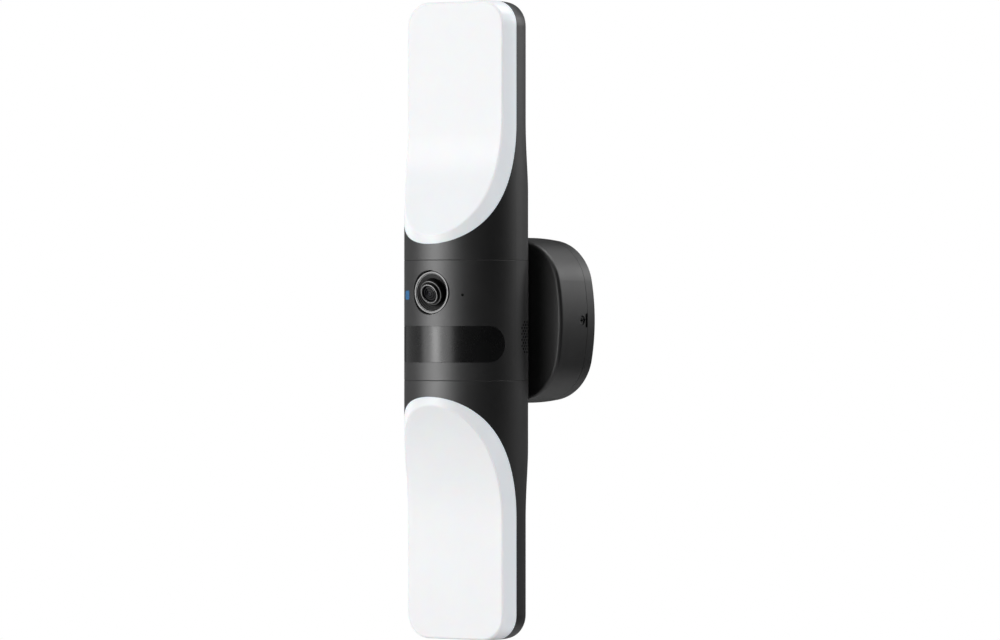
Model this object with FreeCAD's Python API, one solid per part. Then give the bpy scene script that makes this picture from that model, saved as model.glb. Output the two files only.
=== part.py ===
import FreeCAD, Part
import math
import os

# Outdoor wall light with two tall lamps and a security camera between them.
# Millimetres. The origin is the centre of the wall face, +Y goes into the wall, +Z is up and
# the front looks along -Y. Pieces of the round bar are drawn about its own axis and moved out
# from the wall when they are saved.

V = FreeCAD.Vector

# ---- how far a cutting tool reaches past a face, and how near places and directions count as the same
PAST = 1.0
SAME = 0.001
PARALLEL = 0.99

# ---- the round bar
BAR_RADIUS = 37.0
BAR_HEIGHT = 380.0
CENTRE_HEIGHT = 71.4
SEAM_GAP = 0.25
SHELL = 2.6
SEAM_EDGE = 0.12
CORNER_RADIUS = 15.0

# ---- lamp faces: a flat face, and a long hollow curve that runs down from it to the bar
FACE_AHEAD = 11.5
FACE_CURVE = 106.0
FACE_CURVE_ABOVE_SEAM = 83.7
BACK_BEHIND = 12.5
PARTING_CURVE = 89.0
PARTING_CURVE_ABOVE_SEAM = 81.8
FACE_EDGE_ROUND = 1.6
LAMP_SEAL_INSET = 1.2
LAMP_SEAL_DEPTH = 0.8

# ---- the joint between the centre and each lamp
SPIGOT_DEPTH = 4.5
SPIGOT_WALL = 1.8
SPIGOT_CLEARANCE = 0.1
FLOOR_THICK = 2.4
SEAM_SEAL_SIZE = 1.2
WIRE_HOLE_RADIUS = 7.0
BOSS_RADIUS = 3.5
BOSS_LENGTH = 8.0
SCREW_HEAD_CLEARANCE = 0.3
BOSS_ANGLES = (60.0, 140.0, 220.0, 300.0)
ARM_SCREW_RADIUS = 1.4
ARM_SCREW_LENGTH = 6.0
SCREW_HEAD = 1.2

# ---- lamp electronics
BOARD_THICK = 1.6
BOARD_AHEAD = -3.0
BOARD_HALF_WIDTH = 29.0
BOARD_ABOVE_SEAM = 38.3
BOARD_TOP_MARGIN = 9.0
SPREADER_THICK = 2.0
SPREADER_EDGE = 1.2
LED_SIZE = (3.5, 0.8, 2.8)
LED_COLUMNS = 3
LED_PITCH_X = 16.0
LED_PITCH_Z = 8.0
POST_RADIUS = 3.0
POST_INSET = 7.0

# ---- wall base
BACK_TO_WALL = 25.5
BASE_SIZE = 100.0
BASE_DEPTH = 35.0
BASE_SIDE_RADIUS = 130.0
BASE_CORNER_RADIUS = 30.0
BASE_WALL = 2.6
BASE_EDGE_ROUND = 2.2
RING_DEPTH = 7.4
RING_SEAT = 2.0
RING_LIP_HEIGHT = 2.4
RING_LIP_THICK = 1.6
RING_LIP_CLEARANCE = 0.15
PARTING_LINE_GAP = 0.3
TROUGH_GAP = 1.0
GASKET_WIDTH = 3.0
GASKET_DEPTH = 1.6
GASKET_INSET = 1.0
PLATE_THICK = 1.6
PLATE_CLEARANCE = 0.4
SUPPLY_HOLE_RADIUS = 14.0
BOX_SLOT_PITCH = 60.3
BOX_SLOT_LENGTH = 12.0
BOX_SLOT_HALF_WIDTH = 2.2
EAR_WIDTH = 14.0
EAR_SETBACK = 3.2
SIDE_SCREW_FROM_WALL = 13.0
SIDE_SCREW_HEAD_RADIUS = 2.6
SIDE_SCREW_HEAD_THICK = 1.7
SIDE_SCREW_SEAT = 2.4
SIDE_SCREW_RECESS_RADIUS = 2.85
SIDE_SCREW_RADIUS = 1.5
SIDE_SCREW_PAST_EAR = 1.5
SIDE_BOSS_WALL = 1.8
CROSS_RADIUS = 1.5
CROSS_DEPTH = 1.1
NOTCH_HEIGHT = 8.3
NOTCH_WIDTH = 2.0
NOTCH_DEEP = 1.2
GROUND_SCREW_FROM_HOLE = 6.0
GROUND_SCREW_RADIUS = 1.6
GROUND_HEAD_RADIUS = 3.4
GROUND_HEAD_THICK = 2.0

# ---- driver in the base; its parts are places and sizes on the board
DRIVER_WIDTH = 70.0
DRIVER_HEIGHT = 66.0
DRIVER_FROM_WALL = 10.0
DRIVER_POST_INSET = 5.0
DRIVER_POST_RADIUS = 3.2
DRIVER_POST_HOLE_DEPTH = 7.0
DRIVER_SCREW_RADIUS = 1.4
DRIVER_SCREW_HEAD_RADIUS = 2.6
DRIVER_SCREW_HEAD_THICK = 1.4
DRIVER_SCREW_LENGTH = 6.0
TRANSFORMER_X = -29.0
TRANSFORMER_CORE = (11.0, 12.0, 24.0)
TRANSFORMER_WINDING = (9.0, 14.0, 14.0)
CAPACITOR_X = 29.0
CAPACITOR_TALL = 14.0
CAPACITORS = ((11.0, 5.0), (-1.0, 5.0), (-12.0, 4.0))
TERMINAL_LOW = (-27.0, -31.0)
TERMINAL_HIGH = (-8.0, -22.0)
TERMINAL_TALL = 7.0
TERMINAL_ENTRIES = (-24.0, -17.5, -11.0)
TERMINAL_ENTRY_RADIUS = 1.7
TERMINAL_ENTRY_DEPTH = 6.0

# ---- joint between the bar and the base
NECK_WIDTH = 34.0
NECK_HEIGHT = 44.0
NECK_CORNER = 6.0
NECK_SCREW_X = 11.0
NECK_SCREW_Z = 16.0
NECK_SCREW_RADIUS = 1.7
NECK_SCREW_HEAD_RADIUS = 3.0
NECK_SCREW_HEAD_THICK = 2.0
NECK_SCREW_TIP_GAP = 0.5
NECK_BOSS_DEPTH = 9.0
NECK_BOSS_FLOOR = 2.0
SCREW_HOLE_CLEARANCE = 0.1
CABLE_HOLE_RADIUS = 5.0

# ---- camera
LENS_TILT = 19.0
LENS_HEIGHT = 15.5
LENS_PROUD = 0.2
BEZEL_HEIGHT = 16.5
BEZEL_RADIUS = 13.0
BEZEL_WIDTH = 1.7
BEZEL_BACK_FROM_FACE = 5.0
BEZEL_PROUD = 0.25
BEZEL_CLEARANCE = 0.25
FUNNEL_SET_BACK = 0.6
FUNNEL_FOOT = 8.4
FUNNEL_LENGTH = 10.0
FUNNEL_FLARE = 3.2
BARREL_GAP = 0.3
BARREL_NOSE_RADIUS = 6.0
BARREL_NOSE_LENGTH = 1.8
BARREL_NOSE_EDGE = 0.4
BARREL_STEP_RADIUS = 7.6
BARREL_STEP_END = 6.0
BARREL_STEP_EDGE = 0.5
BARREL_THREAD_RADIUS = 5.6
BARREL_WALL = 1.6
BARREL_LENGTH = 14.0
GLASS_SEAT_WALL = 1.0
GLASS_SEAT_FLARE = 0.4
GLASS_SEAT_DEPTH = 3.0
GLASS_RIM_THICK = 1.4
GLASS_RISE = 1.75
GLASS_DOME_RADIUS = 8.0
INNER_LENS_THICK = 1.8
INNER_LENS_DEPTHS = (6.6, 10.2, 13.4)
HOLDER_HALF = 8.0
HOLDER_GRIP = 3.0
HOLDER_GAP = 0.2
FIT = 0.05

# ---- day and night filter behind the lens, measured back from the front of its frame
FILTER_TRAVEL = 7.0
FILTER_RADIUS = 3.0
FILTER_DEEP = 3.0
FILTER_HALF = 12.5
FILTER_TOP_EDGE = 5.0
FILTER_FOOT = -14.0
FILTER_WALL = 0.8
FILTER_SLOT_DEPTHS = (0.5, 2.5)
FILTER_LIGHT_MARGIN = 0.6
CARRIAGE_DEPTHS = (0.7, 1.5)
CARRIAGE_EDGES = (-11.2, 4.2)
CARRIAGE_FOOT = -6.4
CARRIAGE_TOP = 3.9
CARRIAGE_SLOT_HALF = 0.85
CARRIAGE_SLOT_SPAN = (-6.0, -3.4)
PANE_THICK = 0.4
PANE_DEPTH = 1.3
LEVER_LENGTH = 7.0
LEVER_SWING = 60.0
LEVER_PIVOT = -11.0
LEVER_HALF_WIDTH = 0.6
LEVER_DEPTHS = (1.8, 2.3)
LEVER_PIN_RADIUS = 0.55
LEVER_PIN_DEPTHS = (0.9, 2.2)
ROTOR_RADIUS = 2.0
ROTOR_END = 6.2
ROTOR_CLEARANCE = 0.3
MOTOR_HALF_WIDTH = 5.0
MOTOR_TOP = -8.0
MOTOR_END = 7.0
MOTOR_GAP = 0.1
SENSOR_BOARD_HALF = (9.0, 7.4)
SENSOR_BOARD_THICK = 1.0
SENSOR_HALF = (4.0, 3.4)
SENSOR_THICK = 1.2
SENSOR_GAP = 0.2

# ---- motion sensor window
PIR_HEIGHT = 21.3
PIR_CENTRE = -14.15
PIR_HALF_ANGLE = 74.4
PIR_THICK = 1.2
PIR_LINE = 0.12
PIR_OPENING_ANGLE = 50.0
PIR_LIP = 3.0
PIR_BOARD_AHEAD = 10.0
PIR_BOARD_SIZE = (26.0, 1.2, 16.0)
PIR_CAN_RADIUS = 4.1
PIR_CAN_HEIGHT = 4.4
PIR_FLANGE_RADIUS = 4.7
PIR_FLANGE_THICK = 0.6
FRESNEL_THICK = 0.7
FRESNEL_EDGE_ANGLE = 4.0

# ---- small features of the centre
LIGHT_ANGLE = -35.0
LIGHT_WIDTH = 7.0
LIGHT_HEIGHT = 5.4
LIGHT_CORNER = 1.4
LIGHT_PIPE_INSIDE = 1.4
LIGHT_SET_BACK = 0.1
MIC_ANGLE = 33.0
MIC_HOLE_RADIUS = 0.6
MIC_BOOT_RADIUS = 3.0
MIC_BOOT_DEPTH = 3.4
MIC_SIZE = (3.8, 3.0, 1.1)
FEATURE_HEIGHT = 15.0
SPEAKER_ANGLE = 113.0
SPEAKER_CENTRE = -9.9
SPEAKER_RADIUS = 10.0
SPEAKER_WALL_GAP = 0.3
SPEAKER_RIM = 1.0
SPEAKER_DEPTH = 5.4
SPEAKER_FLOOR = 0.8
MAGNET_RADIUS = 6.0
MAGNET_DEPTHS = (4.2, 7.4)
MAGNET_GAP_RADII = (3.1, 4.1)
MAGNET_GAP_END = 6.4
CONE_FOOT_RADIUS = 3.9
CONE_RIM_RADIUS = 7.0
CONE_TALL = 2.0
CONE_END = 3.2
CONE_WALL = 0.4
CONE_STEP = 0.5
COIL_RADII = (3.35, 3.85)
COIL_END = 5.4
SURROUND_GAP = 0.1
SURROUND_DEPTHS = (1.2, 1.6)
MESH_THICK = 0.2
HOLE_RADIUS = 0.5
HOLE_ROWS = 11
HOLE_COLUMNS = 10
HOLE_ROW_PITCH = 1.78
HOLE_COLUMN_PITCH = 1.87
BUTTON_ANGLE = -113.0
BUTTON_CENTRE = -9.9
BUTTON_RADIUS = 4.0
BUTTON_TRAVEL = 0.8
BUTTON_CLEARANCE = 0.08
BUTTON_PROUD = 0.6
BUTTON_ROUND = 0.4
BUTTON_BEHIND_WALL = 1.0
BUTTON_FLANGE = 1.2
BUTTON_FLANGE_THICK = 0.8
BUTTON_FLANGE_BACK = 1.5
BUTTON_STEM_RADIUS = 1.2
BUTTON_STEM_LENGTH = 1.4
SWITCH_HALF = 3.0
SWITCH_THICK = 2.0
SWITCH_BOARD_HALF = 5.0
SWITCH_BOARD_THICK = 1.0
SWITCH_GAP = 0.1

# ---- main board, and its chips as the place of a corner, the side and the height
MAIN_BOARD_LEFT = -20.0
MAIN_BOARD_RIGHT = 14.0
MAIN_BOARD_HALF_HEIGHT = 28.0
MAIN_BOARD_BEHIND = 6.0
CHIPS = ((-16, -2, 12, 1.4), (-16, -16, 9, 1.1), (-2, 10, 10, 1.2), (4, -22, 8, 1.0), (-14, 14, 7, 1.6))
LAMP_LEAD_RADIUS = 1.3
LAMP_LEAD_AHEAD = 1.6
LAMP_LEAD_BELOW_TOP = 7.0
BASE_LEAD_RADIUS = 1.1
BASE_LEAD_X = 1.4

# ---- places worked out from the sizes above
AXIS_TO_WALL = BACK_TO_WALL + BAR_RADIUS
BORE = BAR_RADIUS - SHELL
ARM_SCREW_CIRCLE = BORE - SPIGOT_CLEARANCE - SPIGOT_WALL - 2 * ARM_SCREW_RADIUS - SCREW_HEAD_CLEARANCE
SEAM = CENTRE_HEIGHT / 2
FACE_CURVE_START = SEAM + FACE_CURVE_ABOVE_SEAM
PARTING_CURVE_START = SEAM + PARTING_CURVE_ABOVE_SEAM
BOARD_FOOT = SEAM + BOARD_ABOVE_SEAM
ARM_TOP = BAR_HEIGHT / 2
TROUGH_RADIUS = BAR_RADIUS + TROUGH_GAP
BEZEL_PLANE = math.sqrt(BAR_RADIUS ** 2 - BEZEL_RADIUS ** 2) + BEZEL_PROUD
WIDE = 4 * BAR_RADIUS
SIDE_BOSS_GAP = EAR_WIDTH / 2 + 3 * PAST


# ---- helpers

def save(name, shape, towards_front=0.0):
    """Write one piece, moved out from the wall."""
    placed = shape.copy()
    placed.translate(V(0, -towards_front, 0))
    placed.exportStep(os.path.join("parts", name + ".step"))


def save_on_bar(name, shape):
    save(name, shape, AXIS_TO_WALL)


def cylinder(radius, start, end):
    """Round solid from one point to another."""
    along = end.sub(start)
    return Part.makeCylinder(radius, along.Length, start, along)


def block(low, high):
    size = high.sub(low)
    return Part.makeBox(size.x, size.y, size.z, low)


def prism(points, direction):
    """Solid whose outline is straight between points, or an arc through a triple of points."""
    edges = []
    for piece in points:
        if len(piece) == 3:
            edges.append(Part.Arc(*piece).toShape())
        else:
            edges.append(Part.LineSegment(*piece).toShape())
    return Part.Face(Part.Wire(edges)).extrude(direction)


def rounded_box(low, high, radius, axis):
    """Box with its four edges along one axis rounded."""
    solid = block(low, high)
    edges = [e for e in solid.Edges if abs(e.tangentAt(0).dot(axis)) > PARALLEL]
    return solid.makeFillet(radius, edges)


def joined(solids):
    first = solids[0]
    if len(solids) == 1:
        return first
    return first.fuse(solids[1:]).removeSplitter()


def group(solids):
    return Part.makeCompound(solids)


def turned_over(shape):
    """The same piece for the lower lamp."""
    lower = shape.copy()
    lower.rotate(V(0, 0, 0), V(0, 1, 0), 180)
    return lower


def outward(angle):
    """Direction out of the bar, with 0 at the front and positive towards +X."""
    turn = math.radians(angle)
    return V(math.sin(turn), -math.cos(turn), 0)


def on_bar(angle, radius, height):
    point = outward(angle).multiply(radius)
    return V(point.x, point.y, height)


def radial_cylinder(angle, height, radius, inner, outer):
    return cylinder(radius, on_bar(angle, inner, height), on_bar(angle, outer, height))


def radial_placed(shape, angle, radius, height):
    """Move a shape drawn along +Z so that +Z points out of the bar."""
    placed = shape.copy()
    tip = FreeCAD.Rotation(V(1, 0, 0), 90)
    turn = FreeCAD.Rotation(V(0, 0, 1), angle)
    placed.Placement = FreeCAD.Placement(on_bar(angle, radius, height), turn.multiply(tip))
    return placed


def ring(outer, inner, bottom, top):
    return Part.makeCylinder(outer, top - bottom, V(0, 0, bottom)).cut(
        Part.makeCylinder(inner, top - bottom, V(0, 0, bottom)))


# ---- lamp arms

def scoop(side, flat, curve, curve_start, grow):
    """Space outside a lamp's flat face and its hollow curve; side is -1 front, 1 back."""
    centre = flat + curve
    reach = curve + grow
    near = flat - grow
    diagonal = reach * math.sqrt(0.5)
    top = ARM_TOP + CORNER_RADIUS
    high_near = V(-WIDE, side * near, top)
    low_near = V(-WIDE, side * near, curve_start)
    middle = V(-WIDE, side * (centre - diagonal), curve_start - diagonal)
    low_far = V(-WIDE, side * centre, curve_start - reach)
    high_far = V(-WIDE, side * centre, top)
    outline = [(high_near, low_near), (low_near, middle, low_far), (low_far, high_far), (high_far, high_near)]
    return prism(outline, V(2 * WIDE, 0, 0))


def arm_block(inset, bottom):
    """Outer form of a lamp arm, or the same form set in by a wall."""
    top = ARM_TOP - inset
    bar = Part.makeCylinder(BAR_RADIUS - inset, top - bottom, V(0, 0, bottom))
    rim = [e for e in bar.Edges if e.CenterOfMass.z > top - SAME]
    form = bar.makeFillet(CORNER_RADIUS - inset, rim)
    form = form.cut(scoop(-1, FACE_AHEAD, FACE_CURVE, FACE_CURVE_START, inset))
    return form.cut(scoop(1, BACK_BEHIND, FACE_CURVE, FACE_CURVE_START, inset))


def lies_on_face(point, ahead):
    """Whether a point is on the lamp's front face or its hollow curve."""
    if point.z > FACE_CURVE_START:
        return abs(ahead - FACE_AHEAD) < SAME
    reach = math.hypot(ahead - FACE_AHEAD - FACE_CURVE, point.z - FACE_CURVE_START)
    return abs(reach - FACE_CURVE) < SAME


def face_border(form):
    """Edges all round the front face, without the line where it starts to curve."""
    border = []
    for edge in form.Edges:
        first, last = edge.ParameterRange
        points = [edge.valueAt(first + (last - first) * share) for share in (0.1, 0.37, 0.5, 0.8)]
        on_face = all(lies_on_face(p, -p.y) for p in points)
        if on_face and abs(points[2].z - FACE_CURVE_START) > SAME:
            border.append(edge)
    return border


def ahead_of_parting(grow):
    """Space in front of the surface where the milky cover meets the dark housing."""
    return scoop(-1, 0.0, PARTING_CURVE, PARTING_CURVE_START, grow)


def arm_bottom():
    return SEAM + SEAM_GAP / 2


def lamp_diffuser():
    outer = arm_block(0.0, arm_bottom())
    outer = outer.makeFillet(FACE_EDGE_ROUND, face_border(outer))
    shell = outer.cut(arm_block(SHELL, arm_bottom() - SHELL))
    return shell.common(ahead_of_parting(0.0))


def lamp_seal():
    loop = arm_block(LAMP_SEAL_INSET, arm_bottom()).cut(arm_block(SHELL, arm_bottom()))
    return loop.common(ahead_of_parting(LAMP_SEAL_DEPTH)).cut(ahead_of_parting(0.0))


def board_top():
    return ARM_TOP - BOARD_TOP_MARGIN


def board_slab(edge, front, thick):
    """Flat slab of a lamp board's outline, grown by an edge."""
    low = V(-BOARD_HALF_WIDTH - edge, -front, BOARD_FOOT - edge)
    high = V(BOARD_HALF_WIDTH + edge, -front + thick, board_top() + edge)
    slab = block(low, high)
    top_edges = []
    for corner in slab.Edges:
        along = corner.tangentAt(0)
        if abs(along.y) > PARALLEL and corner.CenterOfMass.z > FACE_CURVE_START:
            top_edges.append(corner)
    return slab.makeFillet(CORNER_RADIUS - SHELL - edge, top_edges)


def post_places():
    across = BOARD_HALF_WIDTH - POST_INSET
    return [(x, z) for x in (-across, across) for z in (BOARD_FOOT + POST_INSET, board_top() - 2 * POST_INSET)]


def light_board():
    board = board_slab(0.0, BOARD_AHEAD, BOARD_THICK)
    for x, z in post_places():
        board = board.cut(cylinder(ARM_SCREW_RADIUS + FIT, V(x, -WIDE, z), V(x, WIDE, z)))
    return board


def heat_spreader():
    plate = board_slab(SPREADER_EDGE, BOARD_AHEAD - BOARD_THICK, SPREADER_THICK)
    for x, z in post_places():
        plate = plate.cut(cylinder(ARM_SCREW_RADIUS + FIT, V(x, -WIDE, z), V(x, WIDE, z)))
    return plate


def leds():
    width, depth, height = LED_SIZE
    front = -BOARD_AHEAD - depth
    first = BOARD_FOOT + 2 * POST_INSET
    rows = int((board_top() - 2 * POST_INSET - LED_PITCH_Z - first) / LED_PITCH_Z) + 1
    chips = []
    for row in range(rows):
        for column in range(LED_COLUMNS):
            x = (column - (LED_COLUMNS - 1) / 2) * LED_PITCH_X
            z = first + row * LED_PITCH_Z
            chips.append(block(V(x - width / 2, front, z), V(x + width / 2, front + depth, z + height)))
    return group(chips)


def light_screws_upper():
    board_front = -BOARD_AHEAD
    screws = []
    for x, z in post_places():
        head = cylinder(2 * ARM_SCREW_RADIUS, V(x, board_front - SCREW_HEAD, z), V(x, board_front, z))
        shank = cylinder(ARM_SCREW_RADIUS, V(x, board_front - SCREW_HEAD, z), V(x, board_front + ARM_SCREW_LENGTH, z))
        screws.append(joined([head, shank]))
    return screws


def lamp_posts():
    """Posts from the back wall of the lamp to its heat spreader, drilled for their screws."""
    start = -BOARD_AHEAD + BOARD_THICK + SPREADER_THICK
    within = arm_block(SHELL / 2, arm_bottom())
    posts = []
    for x, z in post_places():
        post = cylinder(POST_RADIUS, V(x, start, z), V(x, BAR_RADIUS, z)).common(within)
        hole = cylinder(ARM_SCREW_RADIUS, V(x, start, z), V(x, -BOARD_AHEAD + ARM_SCREW_LENGTH, z))
        posts.append(post.cut(hole))
    return posts


def spigot():
    """Cup below the lamp that plugs into the centre and is screwed to its bosses."""
    outer = BORE - SPIGOT_CLEARANCE
    bottom = arm_bottom() - SPIGOT_DEPTH
    cup = Part.makeCylinder(outer, SPIGOT_DEPTH + SHELL, V(0, 0, bottom))
    cup = cup.cut(Part.makeCylinder(outer - SPIGOT_WALL, SPIGOT_DEPTH + SHELL, V(0, 0, bottom + FLOOR_THICK)))
    rim = ring(BAR_RADIUS - SHELL / 2, outer - SPIGOT_WALL, arm_bottom(), arm_bottom() + SHELL)
    cup = joined([cup, rim])
    cup = cup.cut(cylinder(WIRE_HOLE_RADIUS, V(0, 0, bottom), V(0, 0, bottom + FLOOR_THICK)))
    for angle in BOSS_ANGLES:
        centre = on_bar(angle, ARM_SCREW_CIRCLE, bottom)
        cup = cup.cut(cylinder(ARM_SCREW_RADIUS + FIT, centre, centre.add(V(0, 0, FLOOR_THICK))))
    return cup.cut(seam_seal(0.0))


def seam_seal(clearance):
    middle = arm_bottom() - SPIGOT_DEPTH / 2 + SEAM_SEAL_SIZE
    outer = BORE - FIT
    return ring(outer, outer - SEAM_SEAL_SIZE + clearance, middle - SEAM_SEAL_SIZE / 2, middle + SEAM_SEAL_SIZE / 2)


def lamp_housing():
    shell = arm_block(0.0, arm_bottom()).cut(arm_block(SHELL, arm_bottom() - SHELL))
    shell = shell.cut(ahead_of_parting(0.0)).cut(lamp_seal())
    foot_edges = [e for e in shell.Edges if abs(e.CenterOfMass.z - arm_bottom()) < SAME and is_outer(e)]
    shell = shell.makeChamfer(SEAM_EDGE, foot_edges)
    return joined([shell, spigot()] + lamp_posts())


def is_outer(edge):
    point = edge.valueAt(edge.ParameterRange[0])
    return abs(math.hypot(point.x, point.y) - BAR_RADIUS) < SAME


def arm_screws():
    """Screws down through each lamp's floor into the bosses of the centre."""
    seat = arm_bottom() - SPIGOT_DEPTH + FLOOR_THICK
    upper = []
    for angle in BOSS_ANGLES:
        centre = on_bar(angle, ARM_SCREW_CIRCLE, seat)
        head = cylinder(2 * ARM_SCREW_RADIUS, centre, centre.add(V(0, 0, SCREW_HEAD)))
        shank = cylinder(ARM_SCREW_RADIUS, centre.sub(V(0, 0, ARM_SCREW_LENGTH)), centre)
        upper.append(joined([head, shank]))
    return group(upper + [turned_over(s) for s in upper])


def lamp_harness():
    """Lead from the main board up through the lamp's floor to the foot of its light board."""
    start = V(0, MAIN_BOARD_BEHIND - LAMP_LEAD_AHEAD, MAIN_BOARD_HALF_HEIGHT - LAMP_LEAD_BELOW_TOP)
    end = V(0, start.y, BOARD_FOOT - SPREADER_EDGE)
    return cylinder(LAMP_LEAD_RADIUS, start, end)


# ---- centre of the bar

def pir_band(inner, outer, grow):
    """Band round the front of the bar with half-round ends."""
    half = PIR_HEIGHT / 2 + grow
    cap_angle = PIR_HALF_ANGLE - math.degrees(PIR_HEIGHT / 2 / BAR_RADIUS)
    sector = Part.makeCylinder(outer, 2 * half, V(0, 0, PIR_CENTRE - half), V(0, 0, 1), 2 * cap_angle)
    sector.rotate(V(0, 0, 0), V(0, 0, 1), -90 - cap_angle)
    caps = []
    for side in (-1, 1):
        caps.append(radial_cylinder(side * cap_angle, PIR_CENTRE, half, inner - PAST, outer + 3 * PAST))
    whole = joined([sector] + caps)
    return whole.common(ring(outer, inner, PIR_CENTRE - half, PIR_CENTRE + half))


def pir_opening():
    half = PIR_HEIGHT / 2 - PIR_LIP
    wedge = Part.makeCylinder(BAR_RADIUS, 2 * half, V(0, 0, PIR_CENTRE - half), V(0, 0, 1), 2 * PIR_OPENING_ANGLE)
    wedge.rotate(V(0, 0, 0), V(0, 0, 1), -90 - PIR_OPENING_ANGLE)
    return wedge.cut(Part.makeCylinder(BORE - SHELL, 2 * half, V(0, 0, PIR_CENTRE - half)))


def speaker_holes():
    """Staggered field of small holes with clipped corners."""
    holes = []
    step = math.degrees(HOLE_COLUMN_PITCH / BAR_RADIUS)
    for column in range(HOLE_COLUMNS):
        angle = SPEAKER_ANGLE + (column - (HOLE_COLUMNS - 1) / 2) * step
        at_edge = column in (0, HOLE_COLUMNS - 1)
        for row in range(HOLE_ROWS):
            if (row + column) % 2 or (at_edge and row in (0, HOLE_ROWS - 1)):
                continue
            height = SPEAKER_CENTRE + (row - (HOLE_ROWS - 1) / 2) * HOLE_ROW_PITCH
            holes.append(radial_cylinder(angle, height, HOLE_RADIUS, BORE - PAST, BAR_RADIUS + PAST))
    return group(holes)


def light_window(radius_in, radius_out, grow):
    half_x = LIGHT_WIDTH / 2 + grow
    half_y = LIGHT_HEIGHT / 2 + grow
    bar = rounded_box(V(-half_x, -half_y, 0), V(half_x, half_y, radius_out - radius_in), LIGHT_CORNER, V(0, 0, 1))
    return radial_placed(bar, LIGHT_ANGLE, radius_in, FEATURE_HEIGHT)


def neck_screw_places():
    return [(x, z) for x in (-NECK_SCREW_X, NECK_SCREW_X) for z in (-NECK_SCREW_Z, NECK_SCREW_Z)]


def neck_bosses():
    within = Part.makeCylinder(BAR_RADIUS - SHELL / 2, CENTRE_HEIGHT, V(0, 0, -SEAM))
    bosses = []
    for x, z in neck_screw_places():
        boss = cylinder(BOSS_RADIUS, V(x, BORE - NECK_BOSS_DEPTH, z), V(x, BAR_RADIUS, z))
        bosses.append(boss.common(within))
    return bosses


def neck_screw_shank():
    """How far the neck screws' holes reach into the bar, measured from its axis."""
    return BORE - NECK_BOSS_DEPTH + NECK_BOSS_FLOOR


def arm_bosses():
    """Bosses for the lamp screws, each with a web out to the wall of the centre."""
    top = arm_bottom() - SPIGOT_DEPTH - SPIGOT_CLEARANCE
    within = Part.makeCylinder(BAR_RADIUS - SHELL / 2, CENTRE_HEIGHT, V(0, 0, -SEAM))
    bosses = []
    for angle in BOSS_ANGLES:
        centre = on_bar(angle, ARM_SCREW_CIRCLE, top)
        boss = cylinder(BOSS_RADIUS, centre.sub(V(0, 0, BOSS_LENGTH)), centre)
        web = block(V(-BOSS_RADIUS / 2, -BOSS_LENGTH, 0), V(BOSS_RADIUS / 2, 0, BAR_RADIUS - ARM_SCREW_CIRCLE))
        web = radial_placed(web, angle, ARM_SCREW_CIRCLE, top)
        boss = joined([boss, web]).common(within)
        hole = cylinder(ARM_SCREW_RADIUS, centre.sub(V(0, 0, ARM_SCREW_LENGTH)), centre)
        bosses.append(boss.cut(hole))
    return bosses + [turned_over(b) for b in bosses]


def centre_housing():
    top = SEAM - SEAM_GAP / 2
    outer = Part.makeCylinder(BAR_RADIUS, 2 * top, V(0, 0, -top))
    outer = outer.makeChamfer(SEAM_EDGE, [e for e in outer.Edges if abs(abs(e.CenterOfMass.z) - top) < SAME])
    shell = outer.cut(Part.makeCylinder(BORE, 2 * top, V(0, 0, -top)))
    shell = joined([shell] + arm_bosses() + neck_bosses())
    bezel_hole = cylinder(BEZEL_RADIUS + BEZEL_CLEARANCE, V(0, 0, BEZEL_HEIGHT), V(0, -WIDE, BEZEL_HEIGHT))
    shell = shell.cut(bezel_hole)
    shell = shell.cut(pir_band(BAR_RADIUS - PIR_THICK - FIT, BAR_RADIUS + PAST, PIR_LINE)).cut(pir_opening())
    shell = shell.cut(light_window(BORE - SHELL, BAR_RADIUS + 2 * PAST, FIT))
    shell = shell.cut(radial_cylinder(MIC_ANGLE, FEATURE_HEIGHT, MIC_HOLE_RADIUS, BORE - PAST, BAR_RADIUS + PAST))
    shell = shell.cut(radial_cylinder(BUTTON_ANGLE, BUTTON_CENTRE, BUTTON_RADIUS + BUTTON_CLEARANCE,
                                      BORE - SHELL, BAR_RADIUS + PAST))
    shell = shell.cut(speaker_holes())
    for x, z in neck_screw_places():
        shell = shell.cut(cylinder(NECK_SCREW_RADIUS, V(x, neck_screw_shank(), z), V(x, BAR_RADIUS + PAST, z)))
    return shell.cut(cylinder(CABLE_HOLE_RADIUS, V(0, 0, 0), V(0, WIDE, 0)))


def pir_window():
    return pir_band(BAR_RADIUS - PIR_THICK, BAR_RADIUS, 0.0)


def fresnel_lens():
    half = PIR_HEIGHT / 2 - PIR_LIP / 2
    outer = BORE - FIT
    angle = PIR_OPENING_ANGLE + FRESNEL_EDGE_ANGLE
    wedge = Part.makeCylinder(outer, 2 * half, V(0, 0, PIR_CENTRE - half), V(0, 0, 1), 2 * angle)
    wedge.rotate(V(0, 0, 0), V(0, 0, 1), -90 - angle)
    return wedge.cut(Part.makeCylinder(outer - FRESNEL_THICK, 2 * half, V(0, 0, PIR_CENTRE - half)))


def pir_board():
    width, thick, height = PIR_BOARD_SIZE
    front = V(-width / 2, -PIR_BOARD_AHEAD, PIR_CENTRE - height / 2)
    return block(front, front.add(V(width, thick, height)))


def pir_sensor():
    foot = V(0, -PIR_BOARD_AHEAD, PIR_CENTRE)
    flange = cylinder(PIR_FLANGE_RADIUS, foot, foot.sub(V(0, PIR_FLANGE_THICK, 0)))
    can = cylinder(PIR_CAN_RADIUS, foot, foot.sub(V(0, PIR_CAN_HEIGHT, 0)))
    return joined([flange, can])


def status_light_pipe():
    return light_window(BORE - LIGHT_PIPE_INSIDE, BAR_RADIUS - LIGHT_SET_BACK, 0.0)


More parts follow.
